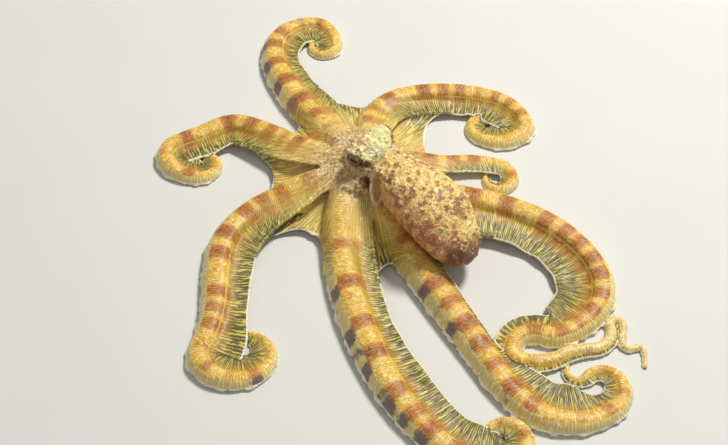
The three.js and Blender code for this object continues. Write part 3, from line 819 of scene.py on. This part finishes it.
def displaced(obj, fields, sizes):
    """The fine relief: lumps along the arms, folds in the fins, warts on the mantle and head."""
    points, normals = points_of(obj), vertices_of(obj, "normal")
    arm, mantle, head = (blurred(obj, fields[name], 6) for name in ("arm", "mantle", "head"))
    top = 1 - blurred(obj, fields["under"], 4)
    fin = smoothstep(fields["across"], 1.0, 1.4) * arm
    back = arm * (1 - fin)
    relief = 0.16 * noise_at(points, 3.2) * top
    relief += 0.22 * back * top * noise_at(points, 7.0)
    relief += 0.14 * fin * np.sin(2 * math.pi * fields["along"] / 3.4 + 2 * noise_at(points, 9.0))
    soft = np.maximum(mantle, head)
    relief += soft * (0.55 * warts_at(points, 3.4) ** 1.5 + 0.3 * noise_at(points, 5.0))
    relief += mantle * 0.35 * noise_at(points, 9.0)
    return points + normals * (relief * sizes.relief)[:, None]


PAPILLA_SEED = 7
PAPILLA_WIDTHS = (0.55, 0.95)
PAPILLA_HEIGHTS = (0.4, 1.0)  # shares of the tallest


def papillae(points, normals, weights, sizes):
    """Small soft spikes that stand on the head and mantle."""
    rng = np.random.default_rng(PAPILLA_SEED)
    weights = weights * (normals[:, 2] > 0.1)
    picks = rng.choice(len(points), size=sizes.papillae, replace=False, p=weights / weights.sum())
    moved = points.copy()
    for pick in picks:
        width = rng.uniform(*PAPILLA_WIDTHS)
        height = sizes.papilla_height / MM * rng.uniform(*PAPILLA_HEIGHTS)
        close = np.linalg.norm(points - points[pick], axis=1)
        near = close < 3 * width
        lift = height * np.exp(-((close[near] / width) ** 2))
        moved[near] += normals[pick] * lift[:, None]
    return moved


FLOOR_GAP = 0.25  # no part of the skin comes lower


def build_skin(arms, sizes):
    shells = [arm_shell(name, arm, sizes) for name, arm in arms.items()]
    shells += [web_shell(arms, web, sizes) for web in WEBS]
    shells += body_shells()
    surface = Map(shells)
    skin = new_mesh("skin", *joined(shells))
    apply_modifier(skin, "REMESH", mode="VOXEL", voxel_size=sizes.voxel, adaptivity=0.0)
    apply_modifier(skin, "SMOOTH", factor=0.5, iterations=sizes.smoothing)

    fields = surface.read(points_of(skin))
    set_points(skin, settled(skin, points_of(skin), fields, sizes))
    set_points(skin, displaced(skin, fields, sizes))
    points, normals = points_of(skin), vertices_of(skin, "normal")
    weights = np.maximum(fields["head"] ** 2, 0.25 * fields["mantle"])
    points = papillae(points, normals, weights, sizes)
    for name, side in EYES:
        points = shape_eye(points, name, side)
    inside, rim = opening_masks(points)
    inside, rim = (blurred(skin, value, 2) * (fields["mantle"] > 0.02) for value in (inside, rim))
    points += normals * (OPENING["lip"] * rim - OPENING["depth"] * inside)[:, None]
    points[:, 2] = np.maximum(points[:, 2], FLOOR_GAP)
    set_points(skin, points)

    triangles = sum(len(face.vertices) - 2 for face in skin.data.polygons)
    apply_modifier(skin, "DECIMATE", ratio=min(1, sizes.triangles / triangles))
    fields = surface.read(points_of(skin))
    for name in ("arm", "web", "mantle", "head", "under"):
        fields[name] = blurred(skin, fields[name], 3)
    points = points_of(skin)
    fields["lining"], fields["rim"] = (blurred(skin, value, 1) for value in opening_masks(points))
    fields["lid"] = blurred(skin, sum(lid_mask(points, name, side) for name, side in EYES), 1)
    for name, values in fields.items():
        write_field(skin, name, values)
    skin.data.shade_smooth()
    return skin


# ---------------------------------------------------------------- suckers

SUCKER_SIDES = 10
SUCKER_FIRST = 16.0  # distance along the arm
SUCKER_END = 1.5  # bare length at the tip
SUCKER_ROWS = (-0.84, 0.42)  # the outer and the inner row, in half widths from the middle
SUCKER_TILT = 28  # of the outer row, outwards
# Rings of one sucker from its seat in the flesh, over its rim and into its cup, as shares of its
# radius and of its height.
SUCKER_RINGS = [(0.62, 1.25), (0.7, 0.8), (0.98, 0.38), (0.9, 0.0), (0.6, 0.12), (0.25, 0.5)]


def one_sucker():
    """A sucker of radius and height 1, mouth down at height 0: rings of points and faces."""
    angle = np.linspace(0, 2 * math.pi, SUCKER_SIDES, endpoint=False)
    rings = [
        np.stack([r * np.cos(angle), r * np.sin(angle), z + 0 * angle], axis=-1)
        for r, z in SUCKER_RINGS
    ]
    return np.concatenate(rings), tube_faces(len(rings), SUCKER_SIDES)


def sucker_seats(arm, sizes):
    """Distances along the arm at which its suckers sit, in turn on either side."""
    seats, s = [], SUCKER_FIRST
    while s < arm.length - SUCKER_END:
        seats.append(s)
        s += 0.5 * sizes.sucker_spacing * arm.at(s, "half")[0]
    return np.array(seats)


def build_suckers(name, arm, sizes):
    shape, faces = one_sucker()
    s = sucker_seats(arm, sizes)
    half, sole, heading = arm.at(s, "half", "sole", "heading")
    outer = np.arange(len(s)) % 2 == 0
    across = np.where(outer, *SUCKER_ROWS) * half
    radius = sizes.sucker_radius * half
    height = sizes.sucker_height * half
    middle = arm.place(s, across, sole)
    tilt = np.where(outer, math.radians(SUCKER_TILT), 0)
    points = []
    for k in range(len(s)):
        local = shape * [radius[k], radius[k], height[k]]
        out, up = local[:, 1].copy(), local[:, 2].copy()
        local[:, 1] = out * math.cos(tilt[k]) + up * math.sin(tilt[k])
        local[:, 2] = up * math.cos(tilt[k]) - out * math.sin(tilt[k])
        local[:, 2] -= min(local[:, 2].min(), 0)
        cos, sin = math.cos(heading[k]), math.sin(heading[k])
        x, y = local[:, 0], arm.side * local[:, 1]
        points.append(middle[k] + np.stack([x * cos - y * sin, x * sin + y * cos, local[:, 2]], axis=-1))
    count = len(shape)
    every = [[k * count + corner for corner in face] for k in range(len(s)) for face in faces]
    suckers = new_mesh(f"suckers_{name}", np.concatenate(points), every)
    suckers.data.shade_smooth()
    return suckers


# ---------------------------------------------------------------- eyes

EYE_SEGMENTS = 64
EYE_RINGS = 40
EYE_BULGING = 0.06  # how far the clear front stands out, in radii


def build_eye(name, side):
    middle, radius, out, up, fore = eye_frame(name, side)
    deselect()
    bpy.ops.mesh.primitive_uv_sphere_add(
        segments=EYE_SEGMENTS, ring_count=EYE_RINGS, radius=radius * MM
    )
    ball_points = points_of(bpy.context.object)
    bulge = 1 + EYE_BULGING * smoothstep(ball_points[:, 2] / radius, 0.6, 1.0)
    turned = (ball_points * bulge[:, None]) @ np.array([fore, up, out])
    eye = bpy.context.object
    eye.name = name + "_ball"
    set_points(eye, middle + turned)
    write_field(eye, "eye_wide", ball_points[:, 0] / radius)
    write_field(eye, "eye_high", ball_points[:, 1] / radius)
    only(eye)
    bpy.ops.object.mode_set(mode="EDIT")
    bpy.ops.mesh.select_all(action="SELECT")
    bpy.ops.mesh.normals_make_consistent(inside=False)
    bpy.ops.object.mode_set(mode="OBJECT")
    eye.data.shade_smooth()
    return eye


# ---------------------------------------------------------------- materials

def sum_of(operation, turned=False):
    """A method that adds one Math node, with its inputs the other way round if it is turned."""
    def method(self, *others):
        inputs = (*others, self) if turned else (self, *others)
        return self.recipe.node("ShaderNodeMath", {"operation": operation}, dict(enumerate(inputs)))
    return method


class Value:
    """A socket that takes part in sums: each operator adds a Math node."""

    def __init__(self, recipe, socket):
        self.recipe, self.socket = recipe, socket

    __add__ = __radd__ = sum_of("ADD")
    __sub__ = sum_of("SUBTRACT")
    __rsub__ = sum_of("SUBTRACT", turned=True)
    __mul__ = __rmul__ = sum_of("MULTIPLY")
    __truediv__ = sum_of("DIVIDE")
    __pow__ = sum_of("POWER")
    sine = sum_of("SINE")
    absolute = sum_of("ABSOLUTE")
    larger = sum_of("MAXIMUM")
    smaller = sum_of("MINIMUM")
    angle_of = sum_of("ARCTAN2")

    def tinted(self, tint, share):
        """This colour with a tint laid over it by a share."""
        return self.recipe.colour(self, tint, share)

    def step(self, low, high):
        """0 below low, 1 above high and smooth between, or the other way round if low is higher."""
        turned = low > high
        ends = {1: min(low, high), 2: max(low, high), 3: float(turned), 4: float(not turned)}
        settings = {"interpolation_type": "SMOOTHSTEP"}
        return self.recipe.node("ShaderNodeMapRange", settings, {0: self, **ends})


class Recipe:
    """A material made of nodes, with the user's colours known by name."""

    def __init__(self, name, colours):
        names = type(colours).__annotations__
        self.tints = {each: (*getattr(colours, each), 1) for each in names}
        self.material = bpy.data.materials.new(name)
        self.material.use_nodes = True
        self.tree = self.material.node_tree
        self.shader = self.tree.nodes["Principled BSDF"]
        self.place = self.node("ShaderNodeTexCoord", {}, {}, "Object")

    def node(self, kind, settings, inputs, output=0):
        node = self.tree.nodes.new(kind)
        for name, value in settings.items():
            setattr(node, name, value)
        for name, value in inputs.items():
            if isinstance(value, Value):
                self.tree.links.new(value.socket, node.inputs[name])
            else:
                node.inputs[name].default_value = value
        return Value(self, node.outputs[output])

    def field(self, name):
        return self.node("ShaderNodeAttribute", {"attribute_name": name}, {}, "Fac")

    def noise(self, size, detail=2.0, roughness=0.5):
        """Noise whose lumps are about size millimetres across, from 0 to 1."""
        scale = 1 / (size * MM)
        inputs = {"Vector": self.place, "Scale": scale, "Detail": detail, "Roughness": roughness}
        return self.node("ShaderNodeTexNoise", {}, inputs, "Fac")

    def cells(self, size, feature="F1"):
        """The distance to the middle or the edge of cells about size millimetres across."""
        inputs = {"Vector": self.place, "Scale": 1 / (size * MM)}
        return self.node("ShaderNodeTexVoronoi", {"feature": feature}, inputs, "Distance")

    def near(self, at, radius, wobble=0.0):
        """1 round a point given in millimetres, falling to 0 past a radius."""
        settings, inputs = {"operation": "DISTANCE"}, {0: self.place, 1: [value * MM for value in at]}
        distance = self.node("ShaderNodeVectorMath", settings, inputs, "Value") / MM
        return (distance + wobble).step(radius, 0.75 * radius)

    def colour(self, under, over, share):
        """One colour laid over another by a share. Either may be the name of a tint."""
        under, over = (self.tints[each] if isinstance(each, str) else each for each in (under, over))
        settings = {"data_type": "RGBA", "blend_type": "MIX"}
        return self.node("ShaderNodeMix", settings, {0: share, 6: under, 7: over}, 2)

    def vector(self, x, y, z):
        return self.node("ShaderNodeCombineXYZ", {}, {0: x, 1: y, 2: z})

    def axis(self, index):
        return self.node("ShaderNodeSeparateXYZ", {}, {0: self.place}, index)

    def feed(self, name, value):
        if isinstance(value, Value):
            self.tree.links.new(value.socket, self.shader.inputs[name])
        else:
            self.shader.inputs[name].default_value = value

    def bump(self, height, depth):
        """Relief of depth millimetres for a height from 0 to 1."""
        self.feed("Normal", self.node(
            "ShaderNodeBump", {}, {"Strength": 1.0, "Distance": depth * MM, "Height": height}
        ))


def streaks(recipe, along, across, period, reach):
    """Broken fine lines that lie crosswise: 1 on the pale lines and 0 on the dark streaks between."""
    wave = (along * (2 * math.pi / period)).sine() * 0.3
    place = recipe.vector(along * (1.1 / period), across * (1 / reach), 0.0)
    inputs = {"Vector": place, "Scale": 1.0, "Detail": 1.5, "Roughness": 0.6}
    strand = recipe.node("ShaderNodeTexNoise", {"noise_dimensions": "2D"}, inputs)
    return (wave + (strand - 0.5) * 2.4).step(-0.12, 0.3)


SKIN_GLOSS = {
    "Specular IOR Level": 0.42, "Coat Weight": 0.1, "Coat Roughness": 0.28,
    "Subsurface Weight": 0.06, "Subsurface Radius": (0.003, 0.0015, 0.0008),
}


def skin_material(colours):
    """The whole animal's skin. Sizes of noise and steps of along, reach and hub are millimetres."""
    r = Recipe("octopus_skin", colours)
    along, lateral, across = r.field("along"), r.field("lateral"), r.field("across")
    names = ("edge", "web", "mantle", "head", "under")
    edge, web, mantle, head, under = (r.field(name) for name in names)
    x, y, z = (r.axis(index) / MM for index in range(3))
    wobble = r.noise(9.0, 2.0) - 0.5
    ripple = r.noise(2.6, 2.0) - 0.5
    grain = r.noise(1.1, 3.0)
    broad = r.noise(17.0, 1.0) - 0.5
    from_crown_x, from_crown_y = x - CROWN[0], y - CROWN[1]
    bearing = from_crown_y.angle_of(from_crown_x)
    reach = (from_crown_x * from_crown_x + from_crown_y * from_crown_y) ** 0.5

    # Arms: a yellow back with red-brown patches, crossed by rows of fine lines, and pale thin ends.
    stain = r.field("patch")
    patch = (stain + ripple * 0.55 + broad * 0.25).step(0.3, 0.62)
    deep = (stain + ripple * 0.9 + grain * 0.3).step(0.8, 1.25)
    rows = streaks(r, along + ripple * 0.8, lateral + wobble * 3, 1.5, 2.6)
    dusk = (r.noise(5.0, 3.0) - 0.5 + ripple * 0.4).step(0.0, 0.2)
    back = r.colour("back", "back_light", r.noise(2.6, 3.0).step(0.4, 0.62))
    back = back.tinted("patch", (1 - rows) * (0.28 + 0.4 * dusk))
    back = back.tinted("patch", patch * (0.9 - rows * 0.25))
    back = back.tinted("patch_dark_and_shadow", deep * (0.7 - rows * 0.3))
    back = back.tinted("fan", along.step(235.0, 275.0) * (0.25 + 0.4 * rows))
    # The bare side's ground is paler than the back: partly its own colour, partly painted light that lifts
    # the shade falling on that side.
    wall = r.colour("wall", "fin_mid", (1 - rows) * 0.3)
    wall = wall.tinted("side_patch", (stain + ripple * 0.5).step(0.42, 0.66) * 0.9)
    arm_colour = r.colour(back, wall, (across + ripple * 0.2).step(-0.5, -0.66))
    rib = (across - 0.8 + ripple * 0.1).absolute().step(0.07, 0.02) * along.step(60.0, 110.0)
    arm_colour = arm_colour.tinted("back_light", rib * 0.6)
    arm_colour = arm_colour.tinted("rim", (across + ripple * 0.05).step(-1.01, -1.05))

    # Fins and webs: pale lines over dark olive, fanning out to the free edge, and darker bars.
    slant = along.step(100.0, 20.0) * 1.35
    fan_lines = streaks(r, along - lateral * slant + ripple * 1.0, lateral + wobble * 3, 1.7, 7.0)
    rays = streaks(r, bearing * 42 + ripple * 1.0, reach + wobble * 4, 1.5, 9.0)
    lines = fan_lines + (rays - fan_lines) * web.larger(along.step(58.0, 26.0))
    bars = (along * (2 * math.pi / 5.4) + wobble * 6).sine().step(0.1, 0.8) * along.step(90.0, 120.0)
    ground = r.colour("fin_dark", "fin_mid", (grain + ripple * 0.8 - bars * 0.3).step(0.3, 0.7))
    # Webs near the crown: partly their own pale netting, partly painted light that lifts the shade falling
    # there.
    pale_and_lifted_web = web.larger(along.step(70.0, 30.0)) * reach.step(62.0, 40.0)
    ground = ground.tinted("crown", pale_and_lifted_web * 0.6)
    strength = (0.42 + 0.5 * grain + pale_and_lifted_web * 0.3).smaller(1.0)
    fin = ground.tinted("fin_light", lines * strength * (1 - bars * 0.4))
    fin = fin.tinted("back", (across - 1 + ripple * 0.5).step(0.45, -0.1) * 0.4 * (1 - web))
    fin = fin.tinted("patch", patch * (across - 1).step(0.5, 0.0) * 0.5 * (1 - web))
    band = along.step(30.0, 115.0) * 0.62 + 0.2
    on_far_side = (across + ripple * 0.3 - band).step(-0.02, 0.25)
    on_near_side = (band + across + ripple * 0.3).step(-0.05, -0.3) * along.step(74.0, 48.0)
    on_fin = web.larger(on_far_side).larger(on_near_side)
    limb = r.colour(arm_colour, fin, on_fin)
    limb = limb.tinted("rim", edge.step(0.9, 0.5) * 0.85)

    # Crown: arms and webs run together in fine rays and dark flecks.
    flecks = (r.noise(2.0, 2.0) + ripple * 0.2).step(0.5, 0.6)
    crown = r.colour("crown", "fan", rays * 0.8)
    crown = crown.tinted("fleck", (1 - rays) * 0.55)
    crown = crown.tinted("fleck", flecks * 0.65)
    crown = crown.tinted("rim", r.noise(2.9, 1.0).step(0.58, 0.66) * 0.7)
    limb = r.colour(limb, crown, (reach + ripple * 30).step(40.0, 18.0) * 0.85)

    # Head: pale and yellowish, with fine dark creases and pinkish spots. The right eye's dome is
    # plain, and pale lines fan out behind it.
    net = r.cells(2.0, "DISTANCE_TO_EDGE").step(0.14, 0.03)
    face = r.colour("head", "head_warm", r.noise(4.5, 2.0).step(0.45, 0.6))
    face = face.tinted("fleck", (net * 0.5).larger(flecks * 0.75) * r.noise(6.0).step(0.36, 0.56))
    face = face.tinted("rim", r.noise(3.1, 1.0).step(0.6, 0.68) * 0.8)
    hub_x, hub_y = x - FAN_HUB[0], y - FAN_HUB[1]
    hub = (hub_x * hub_x + hub_y * hub_y) ** 0.5
    spokes = streaks(r, hub_y.angle_of(hub_x) * 6, hub, 1.2, 6.0)
    pale = r.colour("fin_mid", "fan", spokes.larger(0.35))
    face = r.colour(face, pale, (hub + ripple * 5).step(11.0, 7.0))
    face = face.tinted("head", r.near(RIGHT_DOME, 8.5, ripple * 3) * 0.9)
    # A painted shadow below the mantle's opening, in the colour of the patches' dark middles.
    face = face.tinted("patch_dark_and_shadow", r.near(SHADOW_SPOT, 4.5, ripple * 3) * 0.8)

    # Mantle: buff with red-brown mottles, a purple left flank with painted shade, a dark tip and pale
    # grains.
    buff = r.colour("mantle", "mantle_light", r.noise(1.7, 3.0).step(0.42, 0.58))
    mottle = (r.noise(4.2, 4.0, 0.66) + broad * 0.4).step(0.48, 0.6)
    sack = buff.tinted("mottle", mottle * 0.8)
    sack = sack.tinted("mottle", r.noise(1.0, 2.0).step(0.56, 0.66) * 0.45)
    # Purple flank and painted shade: darker towards the lower side, which faces away from the key lamp.
    flank_and_shade = (x - z * 0.8 + wobble * 14).step(-42.0, -25.0)
    sack = sack.tinted("flank_and_shade", flank_and_shade * (0.45 + 0.45 * mottle))
    sack = sack.tinted("tip", (y + wobble * 16 - z * 0.35).step(39.0, 47.0) * 0.85)
    specks = r.cells(1.6).step(0.34, 0.14)
    sack = sack.tinted("rim", specks * r.noise(3.2).step(0.48, 0.6) * 0.8)
    sack = sack.tinted("lining", r.field("lining") * (0.7 + 0.3 * grain))
    sack = sack.tinted("rim", r.field("rim") * (0.2 + 0.5 * grain))

    skin = r.colour(limb, face, (head + ripple * 0.5).step(0.4, 0.8))
    skin = r.colour(skin, sack, (mantle + ripple * 0.3).step(0.3, 0.7))
    skin = skin.tinted("lid", r.field("lid") * 0.85)
    skin = skin.tinted("under", under.step(0.45, 0.75) * 0.85)
    r.feed("Base Color", skin)
    r.feed("Roughness", 0.36 + 0.22 * grain)
    for name, value in SKIN_GLOSS.items():
        r.feed(name, value)
    limb_relief = rows + (lines - rows) * on_fin
    soft_relief = (1 - net) * 0.5 + specks * 0.8
    height = limb_relief + (soft_relief - limb_relief) * head.larger(mantle)
    r.bump(height * 0.6 + grain * 0.5 + r.noise(0.45, 1.0) * 0.2, 0.4)
    return r.material


def sucker_material(colours):
    r = Recipe("octopus_suckers", colours)
    tint = r.colour("sucker", "rim", r.noise(2.5, 2.0).step(0.35, 0.6))
    tint = tint.tinted("fleck", r.noise(1.2, 2.0).step(0.62, 0.75) * 0.3)
    r.feed("Base Color", tint)
    r.feed("Roughness", 0.3 + 0.2 * r.noise(1.0))
    r.bump(r.noise(0.6, 2.0), 0.15)
    return r.material


def eye_material(colours):
    r = Recipe("octopus_eye", colours)
    wide, high = r.field("eye_wide"), r.field("eye_high")
    away = (wide * wide + high * high) ** 0.5
    rays = r.noise(0.9, 2.0)
    iris = r.colour("iris", "iris_light", rays.step(0.42, 0.66))
    iris = iris.tinted("pupil", away.step(0.7, 0.92))
    slit = (wide * wide * 3.0 + high * high * 60.0).step(1.15, 0.8)
    halo = (wide * wide * 3.0 + high * high * 60.0).step(2.2, 1.2) * 0.4
    iris = iris.tinted("iris_light", halo)
    r.feed("Base Color", r.colour(iris, "pupil", slit))
    r.feed("Roughness", 0.3 + 0.1 * rays)
    r.feed("Coat Weight", 0.35)
    r.feed("Coat Roughness", 0.08)
    return r.material


def floor_material(colours):
    r = Recipe("studio_floor", colours)
    tint = r.colour("floor", (*(0.96 * value for value in colours.floor), 1), r.noise(60.0, 2.0))
    r.feed("Base Color", tint)
    r.feed("Roughness", 0.8)
    return r.material


# ---------------------------------------------------------------- what a user can change

def length(name, description, default):
    """A length in metres."""
    return FloatProperty(
        name=name, description=description, default=default, min=0, unit="LENGTH", precision=5
    )


def share(name, description, default):
    """A plain factor."""
    return FloatProperty(
        name=name, description=description, default=default, min=0, subtype="FACTOR"
    )


def whole(name, description, default, least=0):
    """A whole number."""
    return IntProperty(name=name, description=description, default=default, min=least)


def tint(name, description, default):
    """A colour stated as it looks on a screen, stored in scene-linear values."""
    linear = tuple(
        value / 12.92 if value <= 0.04045 else ((value + 0.055) / 1.055) ** 2.4 for value in default
    )
    return FloatVectorProperty(
        name=name, description=description, default=linear, subtype="COLOR", size=3, min=0, max=1
    )


class OctopusSizes(bpy.types.PropertyGroup):
    voxel: length("Voxel", "Grain of the surface that joins the flesh into one skin", 0.0006)
    station: length("Station", "Spacing of the sections along an arm", 0.0012)
    fin_thickness: length("Fin thickness", "Thickness of the fins", 0.0014)
    web_thickness: length("Web thickness", "Thickness of the webs", 0.0014)
    frill: length("Frill", "How far the ruffle at the foot of an arm stands out", 0.0021)
    fin_wave: length("Fin wave", "Height of the waves along the free edge of a fin", 0.0007)
    papilla_height: length("Papilla height", "Height of the tallest spikes on the head", 0.0017)
    sucker_radius: share("Sucker radius", "As a share of half the arm's width", 0.3)
    sucker_height: share("Sucker height", "As a share of half the arm's width", 0.24)
    sucker_spacing: share("Sucker spacing", "Within a row, as a share of half the arm's width", 0.62)
    relief: share("Relief", "Strength of the lumps, folds and warts", 1.0)
    section_sides: whole("Section sides", "Points round an arm", 44, 12)
    smoothing: whole("Smoothing", "Rounds of smoothing", 4)
    settling: whole("Settling", "Rounds of smoothing round the crown", 24)
    papillae: whole("Papillae", "Spikes on head and mantle", 260)
    triangles: whole("Triangles", "Most triangles of the skin", 196000)


class OctopusColours(bpy.types.PropertyGroup):
    back: tint("Back", "Back of the arms", (0.95, 0.75, 0.27))
    back_light: tint("Light back", "Fine lines on the back of the arms", (1.00, 0.90, 0.52))
    patch: tint("Patch", "Patches on the back of the arms", (0.70, 0.40, 0.17))
    # Also the colour of the painted shadow below the mantle's opening.
    patch_dark_and_shadow: tint("Dark patch", "Middles of the patches", (0.48, 0.23, 0.13))
    # Paler than the back: partly the bare side's own colour, partly painted light against the shade on it.
    wall: tint("Wall", "Bare side of the arms", (1.00, 0.90, 0.60))
    side_patch: tint("Side patch", "Patches on the bare side of the arms", (0.45, 0.37, 0.40))
    rim: tint("Rim", "Free edges and specks", (1.00, 0.97, 0.86))
    fin_dark: tint("Dark fin", "Hatching of fins and webs", (0.36, 0.30, 0.14))
    fin_mid: tint("Middle fin", "Ground of fins and webs", (0.50, 0.44, 0.21))
    fin_light: tint("Light fin", "Pale lines of fins and webs", (0.94, 0.88, 0.44))
    crown: tint("Crown", "Ground round the head", (0.98, 0.80, 0.48))
    fleck: tint("Fleck", "Dark flecks on crown and head", (0.52, 0.27, 0.14))
    head: tint("Head", "Pale head", (0.96, 0.91, 0.62))
    head_warm: tint("Warm head", "Warm tint of the head", (0.90, 0.74, 0.52))
    mantle: tint("Mantle", "Ground of the mantle", (0.90, 0.70, 0.40))
    mantle_light: tint("Light mantle", "Light grains of the mantle", (1.00, 0.91, 0.56))
    mottle: tint("Mottle", "Mottles of the mantle", (0.55, 0.32, 0.18))
    # The mantle's purple flank, also used as painted shade on its side away from the key lamp.
    flank_and_shade: tint("Flank", "Left flank of the mantle", (0.78, 0.44, 0.34))
    tip: tint("Tip", "Tip of the mantle", (0.46, 0.30, 0.23))
    under: tint("Underside", "Undersides of arms, fins and webs", (0.88, 0.82, 0.68))
    sucker: tint("Sucker", "Suckers", (0.98, 0.94, 0.82))
    fan: tint("Fan", "Pale lines round the head and on the arms' thin ends", (0.93, 0.92, 0.70))
    lining: tint("Lining", "Inside of the mantle's opening", (0.74, 0.56, 0.30))
    lid: tint("Lid", "Dark skin in the corners of the eyes", (0.42, 0.31, 0.15))
    iris: tint("Iris", "Iris", (0.42, 0.32, 0.15))
    iris_light: tint("Light iris", "Flecks of the iris", (0.56, 0.45, 0.24))
    pupil: tint("Pupil", "Pupil", (0.07, 0.04, 0.02))
    floor: tint("Floor", "Studio floor", (0.87, 0.86, 0.82))


# ---------------------------------------------------------------- operators

def finished(piece, material):
    piece.data.materials.clear()
    piece.data.materials.append(material)
    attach(piece, BODY)


class OCTOPUS_OT_skin(bpy.types.Operator):
    """Add the one skin over the arms, webs, crown, head and mantle"""

    bl_idname = "octopus.skin"
    bl_label = "Skin"

    def execute(self, context):
        arms = {name: Arm(**measures) for name, measures in ARMS.items()}
        skin = build_skin(arms, context.scene.octopus_sizes)
        finished(skin, skin_material(context.scene.octopus_colours))
        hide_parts(*FLESH_NODES)
        return {"FINISHED"}


class OCTOPUS_OT_suckers(bpy.types.Operator):
    """Add two rows of suckers under each arm"""

    bl_idname = "octopus.suckers"
    bl_label = "Suckers"

    def execute(self, context):
        material = sucker_material(context.scene.octopus_colours)
        for name, measures in ARMS.items():
            suckers = build_suckers(name, Arm(**measures), context.scene.octopus_sizes)
            finished(suckers, material)
        return {"FINISHED"}


class OCTOPUS_OT_eyes(bpy.types.Operator):
    """Add the two eyeballs between their lids"""

    bl_idname = "octopus.eyes"
    bl_label = "Eyes"

    def execute(self, context):
        material = eye_material(context.scene.octopus_colours)
        for name, side in EYES:
            eye = build_eye(name, side)
            finished(eye, material)
            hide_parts(name)
        return {"FINISHED"}


FLOOR_SIZE = 6.0
SKY = (0.9, 0.93, 1.0, 1)
SKY_STRENGTH = 0.22
CAMERA_TARGET = (0.37, -9.4, 0.0)  # millimetres
CAMERA_BEARING = 138.65
CAMERA_ELEVATION = 50.0
CAMERA_DISTANCE = 623.0
CAMERA_LENS = 55.0
CAMERA_NEAREST = 0.01
# Soft lamps: bearing and elevation in degrees, distance and size in metres, power in watts.
LAMPS = {
    "key": (-88, 58, 1.6, 0.3, 25),
    "fill": (150, 48, 1.8, 1.6, 3.4),
    "rim": (20, 35, 1.8, 1.2, 2.5),
}


def direction(bearing, elevation):
    """A unit vector towards a bearing, where 0 is ahead of the animal and 90 is its left."""
    a, e = math.radians(bearing), math.radians(elevation)
    return Vector((math.sin(a) * math.cos(e), -math.cos(a) * math.cos(e), math.sin(e)))


def aimed(obj, location, target):
    obj.location = location
    obj.rotation_euler = (target - location).to_track_quat("-Z", "Y").to_euler()


class OCTOPUS_OT_stage(bpy.types.Operator):
    """Add the floor, the soft lamps and the camera"""

    bl_idname = "octopus.stage"
    bl_label = "Stage"

    def execute(self, context):
        deselect()
        bpy.ops.mesh.primitive_plane_add(size=FLOOR_SIZE, location=(0, 0, 0))
        floor = context.object
        floor.name = "floor"
        floor.data.materials.append(floor_material(context.scene.octopus_colours))
        target = Vector(CAMERA_TARGET) * MM
        for name, (bearing, elevation, distance, size, power) in LAMPS.items():
            bpy.ops.object.light_add(type="AREA", location=(0, 0, 1))
            lamp = context.object
            lamp.name = f"lamp_{name}"
            lamp.data.energy = power
            lamp.data.size = size
            aimed(lamp, target + direction(bearing, elevation) * distance, target)
        world = bpy.data.worlds.new("studio")
        world.use_nodes = True
        background = world.node_tree.nodes["Background"]
        background.inputs["Color"].default_value = SKY
        background.inputs["Strength"].default_value = SKY_STRENGTH
        context.scene.world = world
        context.scene.view_settings.view_transform = "Standard"
        bpy.ops.object.camera_add()
        camera = context.object
        camera.data.lens = CAMERA_LENS
        camera.data.clip_start = CAMERA_NEAREST
        away = direction(CAMERA_BEARING, CAMERA_ELEVATION) * CAMERA_DISTANCE * MM
        aimed(camera, target + away, target)
        context.scene.camera = camera
        return {"FINISHED"}


class OCTOPUS_PT_panel(bpy.types.Panel):
    """Lists the pieces, sizes and colours"""

    bl_label = "Octopus"
    bl_space_type = "VIEW_3D"
    bl_region_type = "UI"
    bl_category = "Octopus"

    def draw(self, context):
        for operator in OPERATORS:
            self.layout.operator(operator.bl_idname)
        for group in (context.scene.octopus_sizes, context.scene.octopus_colours):
            for name in type(group).__annotations__:
                self.layout.prop(group, name)


OPERATORS = (OCTOPUS_OT_skin, OCTOPUS_OT_suckers, OCTOPUS_OT_eyes, OCTOPUS_OT_stage)
CLASSES = (OctopusSizes, OctopusColours, *OPERATORS, OCTOPUS_PT_panel)


def register():
    for each in CLASSES:
        bpy.utils.register_class(each)
    bpy.types.Scene.octopus_sizes = PointerProperty(type=OctopusSizes)
    bpy.types.Scene.octopus_colours = PointerProperty(type=OctopusColours)


def unregister():
    del bpy.types.Scene.octopus_colours
    del bpy.types.Scene.octopus_sizes
    for each in reversed(CLASSES):
        bpy.utils.unregister_class(each)


def main():
    register()
    bpy.ops.octopus.skin()
    bpy.ops.octopus.suckers()
    bpy.ops.octopus.eyes()
    bpy.ops.octopus.stage()


if __name__ == "__main__":
    main()
